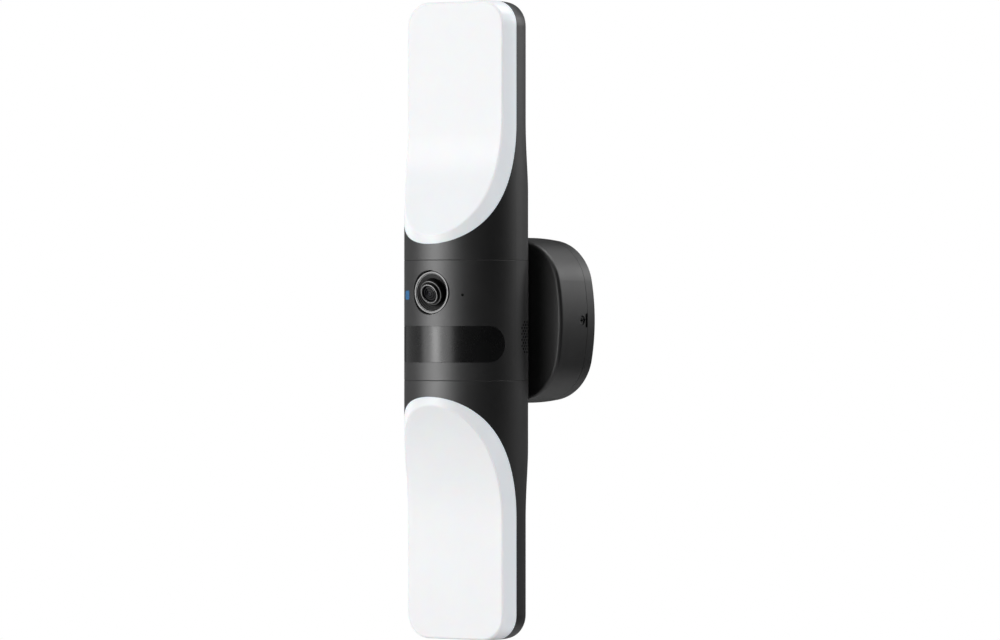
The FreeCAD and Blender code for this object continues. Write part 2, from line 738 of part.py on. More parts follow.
def microphone_boot():
    boot = radial_cylinder(MIC_ANGLE, FEATURE_HEIGHT, MIC_BOOT_RADIUS, BORE - MIC_BOOT_DEPTH, BORE)
    boot = boot.common(Part.makeCylinder(BORE - FIT, CENTRE_HEIGHT, V(0, 0, -SEAM)))
    inner = BORE - 2 * MIC_BOOT_DEPTH
    return boot.cut(radial_cylinder(MIC_ANGLE, FEATURE_HEIGHT, MIC_HOLE_RADIUS, inner, BAR_RADIUS))


def microphone():
    width, height, thick = MIC_SIZE
    body = block(V(-width / 2, -height / 2, -thick), V(width / 2, height / 2, 0))
    return radial_placed(body, MIC_ANGLE, BORE - MIC_BOOT_DEPTH, FEATURE_HEIGHT)


# ---- speaker, drawn with +Z out of the bar and 0 at the front of its basket

def speaker_front():
    return math.sqrt(BORE ** 2 - SPEAKER_RADIUS ** 2) - SPEAKER_WALL_GAP


def speaker_placed(shape):
    return radial_placed(shape, SPEAKER_ANGLE, speaker_front(), SPEAKER_CENTRE)


def speaker_frame():
    rim = ring(SPEAKER_RADIUS, SPEAKER_RADIUS - SPEAKER_RIM, -SPEAKER_DEPTH, 0)
    floor = ring(SPEAKER_RADIUS, MAGNET_RADIUS + SURROUND_GAP, -SPEAKER_DEPTH, SPEAKER_FLOOR - SPEAKER_DEPTH)
    return speaker_placed(joined([rim, floor]))


def speaker_magnet():
    front, back = MAGNET_DEPTHS
    inner, outer = MAGNET_GAP_RADII
    magnet = Part.makeCylinder(MAGNET_RADIUS, back - front, V(0, 0, -back))
    return speaker_placed(magnet.cut(ring(outer, inner, -MAGNET_GAP_END, -front)))


def speaker_cone():
    """Shallow cone with its voice coil, free to move in and out."""
    coil_inner, coil_outer = COIL_RADII
    hollow = CONE_STEP - CONE_END
    cone = Part.makeCone(CONE_FOOT_RADIUS, CONE_RIM_RADIUS, CONE_TALL, V(0, 0, -CONE_END))
    rim = CONE_RIM_RADIUS - CONE_WALL
    cone = cone.cut(Part.makeCone(CONE_FOOT_RADIUS - CONE_WALL, rim, CONE_TALL, V(0, 0, hollow)))
    return speaker_placed(joined([cone, ring(coil_outer, coil_inner, -COIL_END, hollow)]))


def speaker_surround():
    front, back = SURROUND_DEPTHS
    outer = SPEAKER_RADIUS - SPEAKER_RIM - FIT
    return speaker_placed(ring(outer, CONE_RIM_RADIUS + SURROUND_GAP, -back, -front))


def speaker_mesh():
    return speaker_placed(Part.makeCylinder(SPEAKER_RADIUS - SPEAKER_RIM, MESH_THICK))


def stem_end():
    """How far the button's stem reaches in from the bar's surface."""
    return SHELL + BUTTON_FLANGE_BACK + BUTTON_STEM_LENGTH


# ---- pairing button, drawn with +Z out of the bar and 0 at the bar's surface

def pair_button():
    behind = SHELL + BUTTON_BEHIND_WALL
    cap = Part.makeCylinder(BUTTON_RADIUS, behind + BUTTON_PROUD, V(0, 0, -behind))
    cap = cap.makeFillet(BUTTON_ROUND, [e for e in cap.Edges if abs(e.CenterOfMass.z - BUTTON_PROUD) < SAME])
    flange_back = SHELL + BUTTON_FLANGE_BACK
    flange = Part.makeCylinder(BUTTON_RADIUS + BUTTON_FLANGE, BUTTON_FLANGE_THICK, V(0, 0, -flange_back))
    stem = Part.makeCylinder(BUTTON_STEM_RADIUS, BUTTON_STEM_LENGTH, V(0, 0, -stem_end()))
    return radial_placed(joined([cap, flange, stem]), BUTTON_ANGLE, BAR_RADIUS, BUTTON_CENTRE)


def button_switch():
    """Tact switch on its small board, just behind the button's stem."""
    top = -stem_end() - BUTTON_TRAVEL - SWITCH_GAP
    foot = top - SWITCH_THICK
    body = block(V(-SWITCH_HALF, -SWITCH_HALF, foot), V(SWITCH_HALF, SWITCH_HALF, top))
    edge = SWITCH_BOARD_HALF
    board = block(V(-edge, -edge, foot - SWITCH_BOARD_THICK), V(edge, edge, foot))
    return radial_placed(joined([body, board]), BUTTON_ANGLE, BAR_RADIUS, BUTTON_CENTRE)


# ---- camera, drawn with +Z out of the lens and 0 at the front of its barrel

def lens_placed(shape):
    tilt = math.radians(LENS_TILT)
    look = V(0, -math.cos(tilt), -math.sin(tilt))
    placed = shape.copy()
    front = V(0, -BAR_RADIUS - LENS_PROUD, LENS_HEIGHT)
    placed.Placement = FreeCAD.Placement(front, FreeCAD.Rotation(V(0, 0, 1), look))
    return placed


def lens_bezel():
    front = V(0, -BEZEL_PLANE, BEZEL_HEIGHT)
    back = front.add(V(0, BEZEL_BACK_FROM_FACE, 0))
    return cylinder(BEZEL_RADIUS, back, front).cut(cylinder(BEZEL_RADIUS - BEZEL_WIDTH, back, front))


def lens_funnel():
    """Dark well that narrows from the bezel to the tilted lens barrel."""
    radius = BEZEL_RADIUS - BEZEL_WIDTH - FIT
    front = V(0, FUNNEL_SET_BACK - BEZEL_PLANE, BEZEL_HEIGHT)
    back = front.add(V(0, BEZEL_BACK_FROM_FACE - FUNNEL_SET_BACK, 0))
    well = cylinder(radius, back, front)
    neck = BARREL_STEP_RADIUS + BARREL_GAP
    mouth = Part.makeCone(neck, radius + FUNNEL_FLARE, FUNNEL_LENGTH, V(0, 0, -FUNNEL_FOOT))
    hole = Part.makeCylinder(neck, BEZEL_RADIUS + BARREL_LENGTH, V(0, 0, -BARREL_LENGTH))
    return well.cut(lens_placed(mouth)).cut(lens_placed(hole))


def lens_barrel():
    step_front = -BARREL_NOSE_LENGTH
    nose = Part.makeCylinder(BARREL_NOSE_RADIUS, BARREL_NOSE_LENGTH, V(0, 0, step_front))
    nose = nose.makeChamfer(BARREL_NOSE_EDGE, [e for e in nose.Edges if abs(e.CenterOfMass.z) < SAME])
    step = Part.makeCylinder(BARREL_STEP_RADIUS, BARREL_STEP_END - BARREL_NOSE_LENGTH, V(0, 0, -BARREL_STEP_END))
    step = step.makeChamfer(BARREL_STEP_EDGE, [e for e in step.Edges if abs(e.CenterOfMass.z - step_front) < SAME])
    thread = Part.makeCylinder(BARREL_THREAD_RADIUS, BARREL_LENGTH - BARREL_STEP_END, V(0, 0, -BARREL_LENGTH))
    bore = Part.makeCylinder(BARREL_NOSE_RADIUS - BARREL_WALL, BARREL_LENGTH, V(0, 0, -BARREL_LENGTH))
    seat_radius = BARREL_NOSE_RADIUS - GLASS_SEAT_WALL
    seat = Part.makeCone(seat_radius, seat_radius + GLASS_SEAT_FLARE, GLASS_SEAT_DEPTH, V(0, 0, -GLASS_SEAT_DEPTH))
    return lens_placed(joined([nose, step, thread]).cut(joined([bore, seat])))


def front_lens():
    """Domed front glass, seated in the barrel's mouth."""
    radius = BARREL_NOSE_RADIUS - GLASS_SEAT_WALL - FIT
    rim = Part.makeCylinder(radius, GLASS_RIM_THICK, V(0, 0, -GLASS_SEAT_DEPTH))
    rim_top = GLASS_RIM_THICK - GLASS_SEAT_DEPTH
    ball = Part.makeSphere(GLASS_DOME_RADIUS, V(0, 0, rim_top + GLASS_RISE - GLASS_DOME_RADIUS))
    dome = ball.common(Part.makeCylinder(radius, GLASS_SEAT_DEPTH, V(0, 0, rim_top - FIT)))
    return lens_placed(joined([rim, dome]))


def inner_lenses():
    radius = BARREL_NOSE_RADIUS - BARREL_WALL - FIT
    glasses = []
    for depth in INNER_LENS_DEPTHS:
        glasses.append(lens_placed(Part.makeCylinder(radius, INNER_LENS_THICK, V(0, 0, -depth))))
    return group(glasses)


def lens_holder():
    back = -BARREL_LENGTH - HOLDER_GAP
    half = HOLDER_HALF
    holder = block(V(-half, -half, back), V(half, half, HOLDER_GRIP - BARREL_LENGTH))
    return lens_placed(holder.cut(Part.makeCylinder(BARREL_THREAD_RADIUS + FIT, BARREL_LENGTH, V(0, 0, back))))


def behind_filter(depth):
    """Place along the lens axis, from the depth behind the front of the filter's frame."""
    return -BARREL_LENGTH - HOLDER_GAP - depth


def filter_slab(lows, highs, depths):
    """Block between two corners across the lens axis and two depths in the filter."""
    near, far = depths
    return block(V(lows[0], lows[1], behind_filter(far)), V(highs[0], highs[1], behind_filter(near)))


def filter_round(radius, depths, x, y):
    """Round solid along the lens axis, between two depths in the filter."""
    near, far = depths
    return Part.makeCylinder(radius, far - near, V(x, y, behind_filter(far)))


def filter_frame():
    """Flat box behind the holder; the carriage and its lever run in its slot."""
    inside = FILTER_HALF - FILTER_WALL
    whole = (0.0, FILTER_DEEP)
    frame = filter_slab((-FILTER_HALF, FILTER_FOOT), (FILTER_HALF, FILTER_TOP_EDGE), whole)
    low = (-inside, FILTER_FOOT + FILTER_WALL)
    high = (inside, FILTER_TOP_EDGE - FILTER_WALL)
    slot = filter_slab(low, high, FILTER_SLOT_DEPTHS)
    light = filter_round(FILTER_RADIUS + FILTER_LIGHT_MARGIN, whole, 0, 0)
    shaft = filter_round(ROTOR_RADIUS + ROTOR_CLEARANCE, (FILTER_SLOT_DEPTHS[0], FILTER_DEEP), 0, LEVER_PIVOT)
    return lens_placed(frame.cut(slot).cut(light).cut(shaft))


def filter_carriage():
    """Plate with two windows that slides across behind the lens."""
    left, right = CARRIAGE_EDGES
    plate = filter_slab((left, CARRIAGE_FOOT), (right, CARRIAGE_TOP), CARRIAGE_DEPTHS)
    for x in (0.0, -FILTER_TRAVEL):
        plate = plate.cut(filter_round(FILTER_RADIUS, (0.0, FILTER_DEEP), x, 0))
    pin_x = -FILTER_TRAVEL / 2
    bottom, top = CARRIAGE_SLOT_SPAN
    low = (pin_x - CARRIAGE_SLOT_HALF, bottom)
    high = (pin_x + CARRIAGE_SLOT_HALF, top)
    return lens_placed(plate.cut(filter_slab(low, high, (0.0, FILTER_DEEP))))


def filter_glass():
    panes = []
    for x in (0.0, -FILTER_TRAVEL):
        pane = filter_round(FILTER_RADIUS - FIT, (PANE_DEPTH - PANE_THICK, PANE_DEPTH), x, 0)
        panes.append(lens_placed(pane))
    return group(panes)


def filter_lever():
    """Magnet rotor with an arm whose pin stands in the carriage's slot."""
    swing = math.radians(LEVER_SWING / 2)
    near, far = LEVER_DEPTHS
    rotor = filter_round(ROTOR_RADIUS, (near, ROTOR_END), 0, LEVER_PIVOT)
    arm = filter_slab((-LEVER_HALF_WIDTH, 0), (LEVER_HALF_WIDTH, LEVER_LENGTH + LEVER_PIN_RADIUS), LEVER_DEPTHS)
    arm.rotate(V(0, 0, 0), V(0, 0, 1), LEVER_SWING / 2)
    arm.translate(V(0, LEVER_PIVOT, 0))
    pin_x = -LEVER_LENGTH * math.sin(swing)
    pin_y = LEVER_PIVOT + LEVER_LENGTH * math.cos(swing)
    pin = filter_round(LEVER_PIN_RADIUS, LEVER_PIN_DEPTHS, pin_x, pin_y)
    return lens_placed(joined([rotor, arm, pin]))


def filter_motor():
    depths = (FILTER_DEEP + MOTOR_GAP, MOTOR_END)
    coil = filter_slab((-MOTOR_HALF_WIDTH, FILTER_FOOT), (MOTOR_HALF_WIDTH, MOTOR_TOP), depths)
    bore = filter_round(ROTOR_RADIUS + ROTOR_CLEARANCE, (0.0, ROTOR_END + ROTOR_CLEARANCE), 0, LEVER_PIVOT)
    return lens_placed(coil.cut(bore))


def sensor_board():
    wide, high = SENSOR_BOARD_HALF
    front = FILTER_DEEP + SENSOR_GAP + SENSOR_THICK
    return lens_placed(filter_slab((-wide, -high), (wide, high), (front, front + SENSOR_BOARD_THICK)))


def image_sensor():
    wide, high = SENSOR_HALF
    front = FILTER_DEEP + SENSOR_GAP
    return lens_placed(filter_slab((-wide, -high), (wide, high), (front, front + SENSOR_THICK)))


# ---- main board

def main_board():
    low = V(MAIN_BOARD_LEFT, MAIN_BOARD_BEHIND, -MAIN_BOARD_HALF_HEIGHT)
    high = V(MAIN_BOARD_RIGHT, MAIN_BOARD_BEHIND + BOARD_THICK, MAIN_BOARD_HALF_HEIGHT)
    return block(low, high)


def board_chips():
    back = MAIN_BOARD_BEHIND + BOARD_THICK
    chips = []
    for x, z, side, tall in CHIPS:
        chips.append(block(V(x, back, z), V(x + side, back + tall, z + side)))
    return group(chips)


# ---- wall base

def corner_centre():
    """Distance of each corner arc's centre from the middle, where it runs smoothly into the side arcs."""
    side_centre = BASE_SIZE / 2 - BASE_SIDE_RADIUS
    apart = BASE_SIDE_RADIUS - BASE_CORNER_RADIUS
    return (side_centre + math.sqrt(2 * apart ** 2 - side_centre ** 2)) / 2


def rounded_square(inset, near, far):
    """Prism of the base's outline, between two distances from the wall."""
    side_centre = BASE_SIZE / 2 - BASE_SIDE_RADIUS
    centre = corner_centre()
    side_radius = BASE_SIDE_RADIUS - inset
    corner_radius = BASE_CORNER_RADIUS - inset
    meeting = math.atan2(centre, centre - side_centre)
    arcs = []
    for quarter in range(4):
        turn = FreeCAD.Rotation(V(0, 1, 0), -90 * quarter)
        side = [arc_point(side_centre, 0.0, side_radius, angle, near) for angle in (-meeting, 0.0, meeting)]
        angles = (meeting, math.pi / 4, math.pi / 2 - meeting)
        corner = [arc_point(centre, centre, corner_radius, angle, near) for angle in angles]
        arcs.append([turn.multVec(point) for point in side])
        arcs.append([turn.multVec(point) for point in corner])
    return prism(arcs, V(0, near - far, 0))


def arc_point(centre_x, centre_z, radius, angle, near):
    return V(centre_x + radius * math.cos(angle), -near, centre_z + radius * math.sin(angle))


def trough(grow):
    """Room for the bar along the front of the base."""
    centre = V(0, -AXIS_TO_WALL, -BASE_SIZE)
    return cylinder(TROUGH_RADIUS + grow, centre, centre.add(V(0, 0, 2 * BASE_SIZE)))


def side_screw_cuts(side):
    edge = BASE_SIZE / 2
    reach = V(side * (edge + PAST), -SIDE_SCREW_FROM_WALL, 0)
    seat = V(side * (edge - SIDE_SCREW_SEAT), -SIDE_SCREW_FROM_WALL, 0)
    recess = cylinder(SIDE_SCREW_RECESS_RADIUS, seat, reach)
    inner = V(side * (edge - 2 * BASE_WALL - EAR_SETBACK), -SIDE_SCREW_FROM_WALL, 0)
    return joined([recess, cylinder(SIDE_SCREW_RADIUS + SCREW_HOLE_CLEARANCE, inner, reach)])


def cover_boss(side):
    edge = BASE_SIZE / 2
    inner = V(side * (edge - SIDE_SCREW_SEAT - SIDE_BOSS_WALL), -SIDE_SCREW_FROM_WALL, 0)
    outer = V(side * (edge - BASE_WALL / 2), -SIDE_SCREW_FROM_WALL, 0)
    return cylinder(SIDE_SCREW_RECESS_RADIUS + SIDE_BOSS_WALL, inner, outer)


def pry_notch(side):
    edge = BASE_SIZE / 2
    near = -RING_DEPTH - PARTING_LINE_GAP
    xs = sorted((side * (edge - NOTCH_DEEP), side * (edge + PAST)))
    return block(V(xs[0], near - NOTCH_WIDTH, -NOTCH_HEIGHT / 2), V(xs[1], near, NOTCH_HEIGHT / 2))


def base_cover():
    rear = RING_DEPTH + PARTING_LINE_GAP
    outer = rounded_square(0.0, rear, BASE_DEPTH)
    rim = [e for e in outer.Edges if abs(e.CenterOfMass.y + BASE_DEPTH) < SAME]
    outer = outer.makeFillet(BASE_EDGE_ROUND, rim).cut(trough(0.0))
    inner = rounded_square(BASE_WALL, 0.0, BASE_DEPTH - BASE_WALL).cut(trough(BASE_WALL))
    cover = outer.cut(inner)
    cover = joined([cover, cover_boss(-1), cover_boss(1)] + driver_posts())
    for side in (-1, 1):
        cover = cover.cut(side_screw_cuts(side)).cut(pry_notch(side))
    cover = cover.cut(cylinder(CABLE_HOLE_RADIUS, V(0, 0, 0), V(0, -AXIS_TO_WALL, 0)))
    for x, z in neck_screw_places():
        hole = cylinder(NECK_SCREW_RADIUS + SCREW_HOLE_CLEARANCE, V(x, 0, z), V(x, -AXIS_TO_WALL, z))
        cover = cover.cut(hole)
    return cover


def driver_post_places():
    x = DRIVER_WIDTH / 2 - DRIVER_POST_INSET
    z = DRIVER_HEIGHT / 2 - DRIVER_POST_INSET
    return [(sx * x, sz * z) for sx in (-1, 1) for sz in (-1, 1)]


def driver_posts():
    """Posts from the front of the cover back to the driver board."""
    posts = []
    board_front = -DRIVER_FROM_WALL - BOARD_THICK
    for x, z in driver_post_places():
        post = cylinder(DRIVER_POST_RADIUS, V(x, board_front, z), V(x, -BASE_DEPTH + BASE_WALL / 2, z))
        end = V(x, board_front - DRIVER_POST_HOLE_DEPTH, z)
        posts.append(post.cut(cylinder(DRIVER_SCREW_RADIUS, V(x, board_front, z), end)))
    return posts


def rear_ring():
    """Ring between the cover and the wall, with a groove for the gasket."""
    body = rounded_square(0.0, 0.0, RING_DEPTH).cut(rounded_square(ring_width(), 0.0, RING_DEPTH))
    lip_front = RING_DEPTH + RING_LIP_HEIGHT
    lip_inset = BASE_WALL + RING_LIP_CLEARANCE
    lip = rounded_square(lip_inset, RING_DEPTH, lip_front)
    lip = lip.cut(rounded_square(lip_inset + RING_LIP_THICK, RING_DEPTH, lip_front))
    for side in (-1, 1):
        xs = sorted((0, side * BASE_SIZE / 2))
        gap = block(V(xs[0], -lip_front - PAST, -SIDE_BOSS_GAP), V(xs[1], -RING_DEPTH, SIDE_BOSS_GAP))
        lip = lip.cut(gap)
    whole = joined([body, lip])
    return whole.cut(gasket_loop())


def ring_width():
    return GASKET_WIDTH + RING_SEAT


def gasket_loop():
    inner = rounded_square(GASKET_INSET + GASKET_WIDTH, 0.0, GASKET_DEPTH)
    return rounded_square(GASKET_INSET, 0.0, GASKET_DEPTH).cut(inner)


def mounting_plate():
    """Steel plate that screws to the wall box, with a threaded ear at each side."""
    plate = rounded_square(ring_width() + PLATE_CLEARANCE, 0.0, PLATE_THICK)
    reach = BASE_SIZE / 2 - BASE_WALL - EAR_SETBACK
    top = SIDE_SCREW_FROM_WALL + EAR_WIDTH / 2 - PAST
    for side in (-1, 1):
        xs = sorted((side * reach, side * (reach - PLATE_THICK)))
        ear = block(V(xs[0], -top, -EAR_WIDTH / 2), V(xs[1], 0, EAR_WIDTH / 2))
        plate = joined([plate, ear])
        hole_from = V(side * (reach - 2 * PLATE_THICK), -SIDE_SCREW_FROM_WALL, 0)
        hole_to = V(side * (reach + PLATE_THICK), -SIDE_SCREW_FROM_WALL, 0)
        plate = plate.cut(cylinder(SIDE_SCREW_RADIUS, hole_from, hole_to))
    plate = plate.cut(cylinder(SUPPLY_HOLE_RADIUS, V(0, -PLATE_THICK, 0), V(0, 0, 0)))
    for z in (-BOX_SLOT_PITCH / 2, BOX_SLOT_PITCH / 2):
        plate = plate.cut(box_slot(z))
    ground = V(ground_screw_x(), 0, ground_screw_x())
    return plate.cut(cylinder(GROUND_SCREW_RADIUS, ground.sub(V(0, PLATE_THICK, 0)), ground))


def box_slot(z):
    """Slot for a wall box screw, with round ends and its length along Z."""
    straight = BOX_SLOT_LENGTH / 2 - BOX_SLOT_HALF_WIDTH
    half = BOX_SLOT_HALF_WIDTH
    middle = block(V(-half, -PLATE_THICK, z - straight), V(half, 0, z + straight))
    ends = []
    for end in (z - straight, z + straight):
        ends.append(cylinder(half, V(0, -PLATE_THICK, end), V(0, 0, end)))
    return joined([middle] + ends)


def ground_screw_x():
    return SUPPLY_HOLE_RADIUS + GROUND_SCREW_FROM_HOLE


def ground_screw():
    place = ground_screw_x()
    front = -PLATE_THICK - GROUND_HEAD_THICK
    head = cylinder(GROUND_HEAD_RADIUS, V(place, front, place), V(place, -PLATE_THICK, place))
    shank = cylinder(GROUND_SCREW_RADIUS, V(place, front, place), V(place, -FIT, place))
    return joined([head, shank])


def cross_recess(radius, depth):
    """Cross-shaped driver recess, drawn along +Z and down from 0."""
    bars = []
    for long_x, long_y in ((radius, radius / 4), (radius / 4, radius)):
        bars.append(block(V(-long_x, -long_y, -depth), V(long_x, long_y, PAST)))
    return joined(bars)


def side_screws():
    """Screws through each side of the cover into the ears of the plate."""
    edge = BASE_SIZE / 2
    screws = []
    for side in (-1, 1):
        seat = edge - SIDE_SCREW_SEAT
        head = Part.makeCylinder(SIDE_SCREW_HEAD_RADIUS, SIDE_SCREW_HEAD_THICK, V(0, 0, seat))
        tip = edge - BASE_WALL - EAR_SETBACK - PLATE_THICK - SIDE_SCREW_PAST_EAR
        shank = Part.makeCylinder(SIDE_SCREW_RADIUS, seat - tip, V(0, 0, tip))
        recess = cross_recess(CROSS_RADIUS, CROSS_DEPTH)
        recess.translate(V(0, 0, seat + SIDE_SCREW_HEAD_THICK))
        screw = joined([head, shank]).cut(recess)
        screw.Placement = FreeCAD.Placement(V(0, -SIDE_SCREW_FROM_WALL, 0), FreeCAD.Rotation(V(0, 1, 0), side * 90))
        screws.append(screw)
    return group(screws)


def driver_board():
    near = -DRIVER_FROM_WALL
    low = V(-DRIVER_WIDTH / 2, near - BOARD_THICK, -DRIVER_HEIGHT / 2)
    high = V(DRIVER_WIDTH / 2, near, DRIVER_HEIGHT / 2)
    board = block(low, high)
    for x, z in driver_post_places():
        board = board.cut(cylinder(DRIVER_SCREW_RADIUS + FIT, V(x, near - BOARD_THICK, z), V(x, near, z)))
    return board


def driver_screws():
    screws = []
    near = -DRIVER_FROM_WALL
    for x, z in driver_post_places():
        head = cylinder(DRIVER_SCREW_HEAD_RADIUS, V(x, near, z), V(x, near + DRIVER_SCREW_HEAD_THICK, z))
        shank = cylinder(DRIVER_SCREW_RADIUS, V(x, near - DRIVER_SCREW_LENGTH, z), V(x, near, z))
        screws.append(joined([head, shank]))
    return group(screws)


def on_driver(x, size):
    """A block on the middle of the driver board, on the side away from the wall."""
    width, tall, height = size
    near = -DRIVER_FROM_WALL - BOARD_THICK
    return block(V(x - width / 2, near - tall, -height / 2), V(x + width / 2, near, height / 2))


def transformer():
    return joined([on_driver(TRANSFORMER_X, TRANSFORMER_CORE), on_driver(TRANSFORMER_X, TRANSFORMER_WINDING)])


def capacitors():
    near = -DRIVER_FROM_WALL - BOARD_THICK
    cans = []
    for z, radius in CAPACITORS:
        cans.append(cylinder(radius, V(CAPACITOR_X, near, z), V(CAPACITOR_X, near - CAPACITOR_TALL, z)))
    return group(cans)


def terminal_block():
    """Supply terminals on the wall side of the driver board, with three wire entries."""
    near = -DRIVER_FROM_WALL
    low_x, low_z = TERMINAL_LOW
    high_x, high_z = TERMINAL_HIGH
    middle = near + TERMINAL_TALL / 2
    body = block(V(low_x, near, low_z), V(high_x, near + TERMINAL_TALL, high_z))
    for x in TERMINAL_ENTRIES:
        end = V(x, middle, high_z - TERMINAL_ENTRY_DEPTH)
        body = body.cut(cylinder(TERMINAL_ENTRY_RADIUS, end, V(x, middle, high_z)))
    return body


def neck_seal():
    """Rubber pad between the bar and the trough of the base."""
    pad = rounded_box(V(-NECK_WIDTH / 2, 0, -NECK_HEIGHT / 2), V(NECK_WIDTH / 2, 2 * BAR_RADIUS, NECK_HEIGHT / 2),
                      NECK_CORNER, V(0, 1, 0))
    pad = pad.common(ring(TROUGH_RADIUS - FIT, BAR_RADIUS + FIT, -NECK_HEIGHT, NECK_HEIGHT))
    pad = pad.cut(cylinder(CABLE_HOLE_RADIUS, V(0, 0, 0), V(0, WIDE, 0)))
    for x, z in neck_screw_places():
        pad = pad.cut(cylinder(NECK_SCREW_RADIUS + SCREW_HOLE_CLEARANCE, V(x, 0, z), V(x, WIDE, z)))
    return pad


def neck_screws():
    """Screws from inside the base, through its trough and the pad, into the bar."""
    screws = []
    inner_edge = NECK_SCREW_X - NECK_SCREW_HEAD_RADIUS
    seat = math.sqrt((TROUGH_RADIUS + BASE_WALL) ** 2 - inner_edge ** 2)
    for x, z in neck_screw_places():
        head = cylinder(NECK_SCREW_HEAD_RADIUS, V(x, seat, z), V(x, seat + NECK_SCREW_HEAD_THICK, z))
        tip = V(x, neck_screw_shank() + NECK_SCREW_TIP_GAP, z)
        screws.append(joined([head, cylinder(NECK_SCREW_RADIUS - FIT, tip, V(x, seat, z))]))
    return group(screws)


def base_harness():
    """Pair of leads from the driver board, through the pad, to the main board."""
    start = MAIN_BOARD_BEHIND + BOARD_THICK
    end = AXIS_TO_WALL - DRIVER_FROM_WALL - BOARD_THICK
    leads = [cylinder(BASE_LEAD_RADIUS, V(x, start, 0), V(x, end, 0)) for x in (-BASE_LEAD_X, BASE_LEAD_X)]
    return group(leads)


def build_lamps():
    pieces = {"housing": lamp_housing(), "diffuser": lamp_diffuser(), "seal": lamp_seal(),
              "light_board": light_board(), "leds": leds(), "heat_spreader": heat_spreader()}
    for name, shape in pieces.items():
        save_on_bar("upper_" + name, shape)
        save_on_bar("lower_" + name, turned_over(shape))
    upper_screws = light_screws_upper()
    save_on_bar("light_screws", group(upper_screws + [turned_over(s) for s in upper_screws]))
    save_on_bar("arm_screws", arm_screws())
    save_on_bar("seam_seals", group([seam_seal(FIT), turned_over(seam_seal(FIT))]))
    save_on_bar("lamp_harnesses", group([lamp_harness(), turned_over(lamp_harness())]))


def build_centre():
    makers = (centre_housing, pir_window, fresnel_lens, pir_board, pir_sensor, status_light_pipe,
              microphone_boot, microphone, speaker_frame, speaker_magnet, speaker_cone, speaker_surround,
              speaker_mesh, pair_button, button_switch, lens_bezel, lens_funnel, lens_barrel, front_lens,
              inner_lenses, lens_holder, filter_frame, filter_carriage, filter_glass, filter_lever,
              filter_motor, sensor_board, image_sensor, main_board, board_chips, neck_seal, neck_screws,
              base_harness)
    for maker in makers:
        save_on_bar(maker.__name__, maker())


def build_base():
    makers = (base_cover, rear_ring, mounting_plate, ground_screw, side_screws, driver_board, driver_screws,
              transformer, capacitors, terminal_block)
    for maker in makers:
        save(maker.__name__, maker())
    save("wall_gasket", gasket_loop())


os.makedirs("parts", exist_ok=True)
build_lamps()
build_centre()
build_base()
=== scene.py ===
import math

import bmesh
import bpy
from mathutils import Matrix, Vector


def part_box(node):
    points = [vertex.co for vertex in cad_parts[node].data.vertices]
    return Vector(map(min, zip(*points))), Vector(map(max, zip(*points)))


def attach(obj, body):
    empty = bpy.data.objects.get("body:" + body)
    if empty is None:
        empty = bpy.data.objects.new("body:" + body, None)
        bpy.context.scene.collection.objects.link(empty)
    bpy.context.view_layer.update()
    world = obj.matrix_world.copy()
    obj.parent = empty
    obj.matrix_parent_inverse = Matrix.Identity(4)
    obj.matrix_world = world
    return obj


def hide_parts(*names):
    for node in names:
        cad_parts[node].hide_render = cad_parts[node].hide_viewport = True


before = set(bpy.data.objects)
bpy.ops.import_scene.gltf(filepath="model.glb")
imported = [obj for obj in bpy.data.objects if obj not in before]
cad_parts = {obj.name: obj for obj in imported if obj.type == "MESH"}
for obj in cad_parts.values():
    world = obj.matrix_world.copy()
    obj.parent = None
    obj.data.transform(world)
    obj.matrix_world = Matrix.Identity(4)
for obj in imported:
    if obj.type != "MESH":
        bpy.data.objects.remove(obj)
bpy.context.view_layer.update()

# ---- places, worked out from the frame (metres)
FIXTURE = "fixture"
CENTRE_LOW, CENTRE_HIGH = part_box("centre_housing")
BAR_RADIUS = (CENTRE_HIGH[0] - CENTRE_LOW[0]) / 2
BAR_AXIS_Y = CENTRE_LOW[1] + BAR_RADIUS
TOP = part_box("upper_housing")[1][2]

# ---- the camera in the bar: its tilt, the middle of its barrel's front, and the bezel's middle (metres)
LENS_TILT = math.radians(19.0)
LENS_HEIGHT = 0.0155
LENS_PROUD = 0.0002
BEZEL_HEIGHT = 0.0165

# ---- millimetres in a metre
PER_METRE = 1000

# ---- turned pieces of the camera (millimetres, from the front plane of the bezel or of the barrel)
BEZEL_OUTER = 13.0
BEZEL_RIM = 12.4
BEZEL_CREST = 11.5
BEZEL_INNER = 10.9
BEZEL_ROUND = 0.15
BEZEL_STEP = -2.6
BEZEL_BACK = -5.0
BARREL_RADIUS = 7.6
BARREL_BACK = -14.0
GLASS_RIM = 4.85
GLASS_BACK = -3.0
GLASS_REFLECTION_REACH = 4.8

# ---- depths under the bar's surface where its plastic begins to turn matt and take painted shade, and where it is fully matt and painted near black (metres)
SHADE_AND_MATT_BEGINS = 0.00009
SHADE_AND_MATT_FULL = 0.00016

# ---- the microphone's port, a near-black liner as painted shade (millimetres and degrees)
MIC_ANGLE = 33.0
MIC_HEIGHT = 15.0
PORT_OUTER = 0.72
PORT_INNER = 0.5
PORT_DEPTH = 2.0

# ---- liners of the speaker's holes, near black as painted shade, in the staggered field of the holes (millimetres and degrees)
SPEAKER_ANGLE = 113.0
SPEAKER_HEIGHT = -9.9
HOLE_ROWS = 11
HOLE_COLUMNS = 10
HOLE_ROW_PITCH = 1.78
HOLE_COLUMN_PITCH = 1.87
LINER_OUTER = 0.66
LINER_INNER = 0.44
LINER_DEPTH = 1.5

# ---- wall and flange of the port and of the liners (millimetres from the bar's surface)
LINER_WALL = 0.05
FLANGE_BACK = -0.02
FLANGE_FRONT = 0.03

# ---- lips in the seams (millimetres)
SEAM_GAP = 0.25
LIP_THICKNESS = 0.22
LIP_OUTER = 36.86
LIP_INNER = 34.6

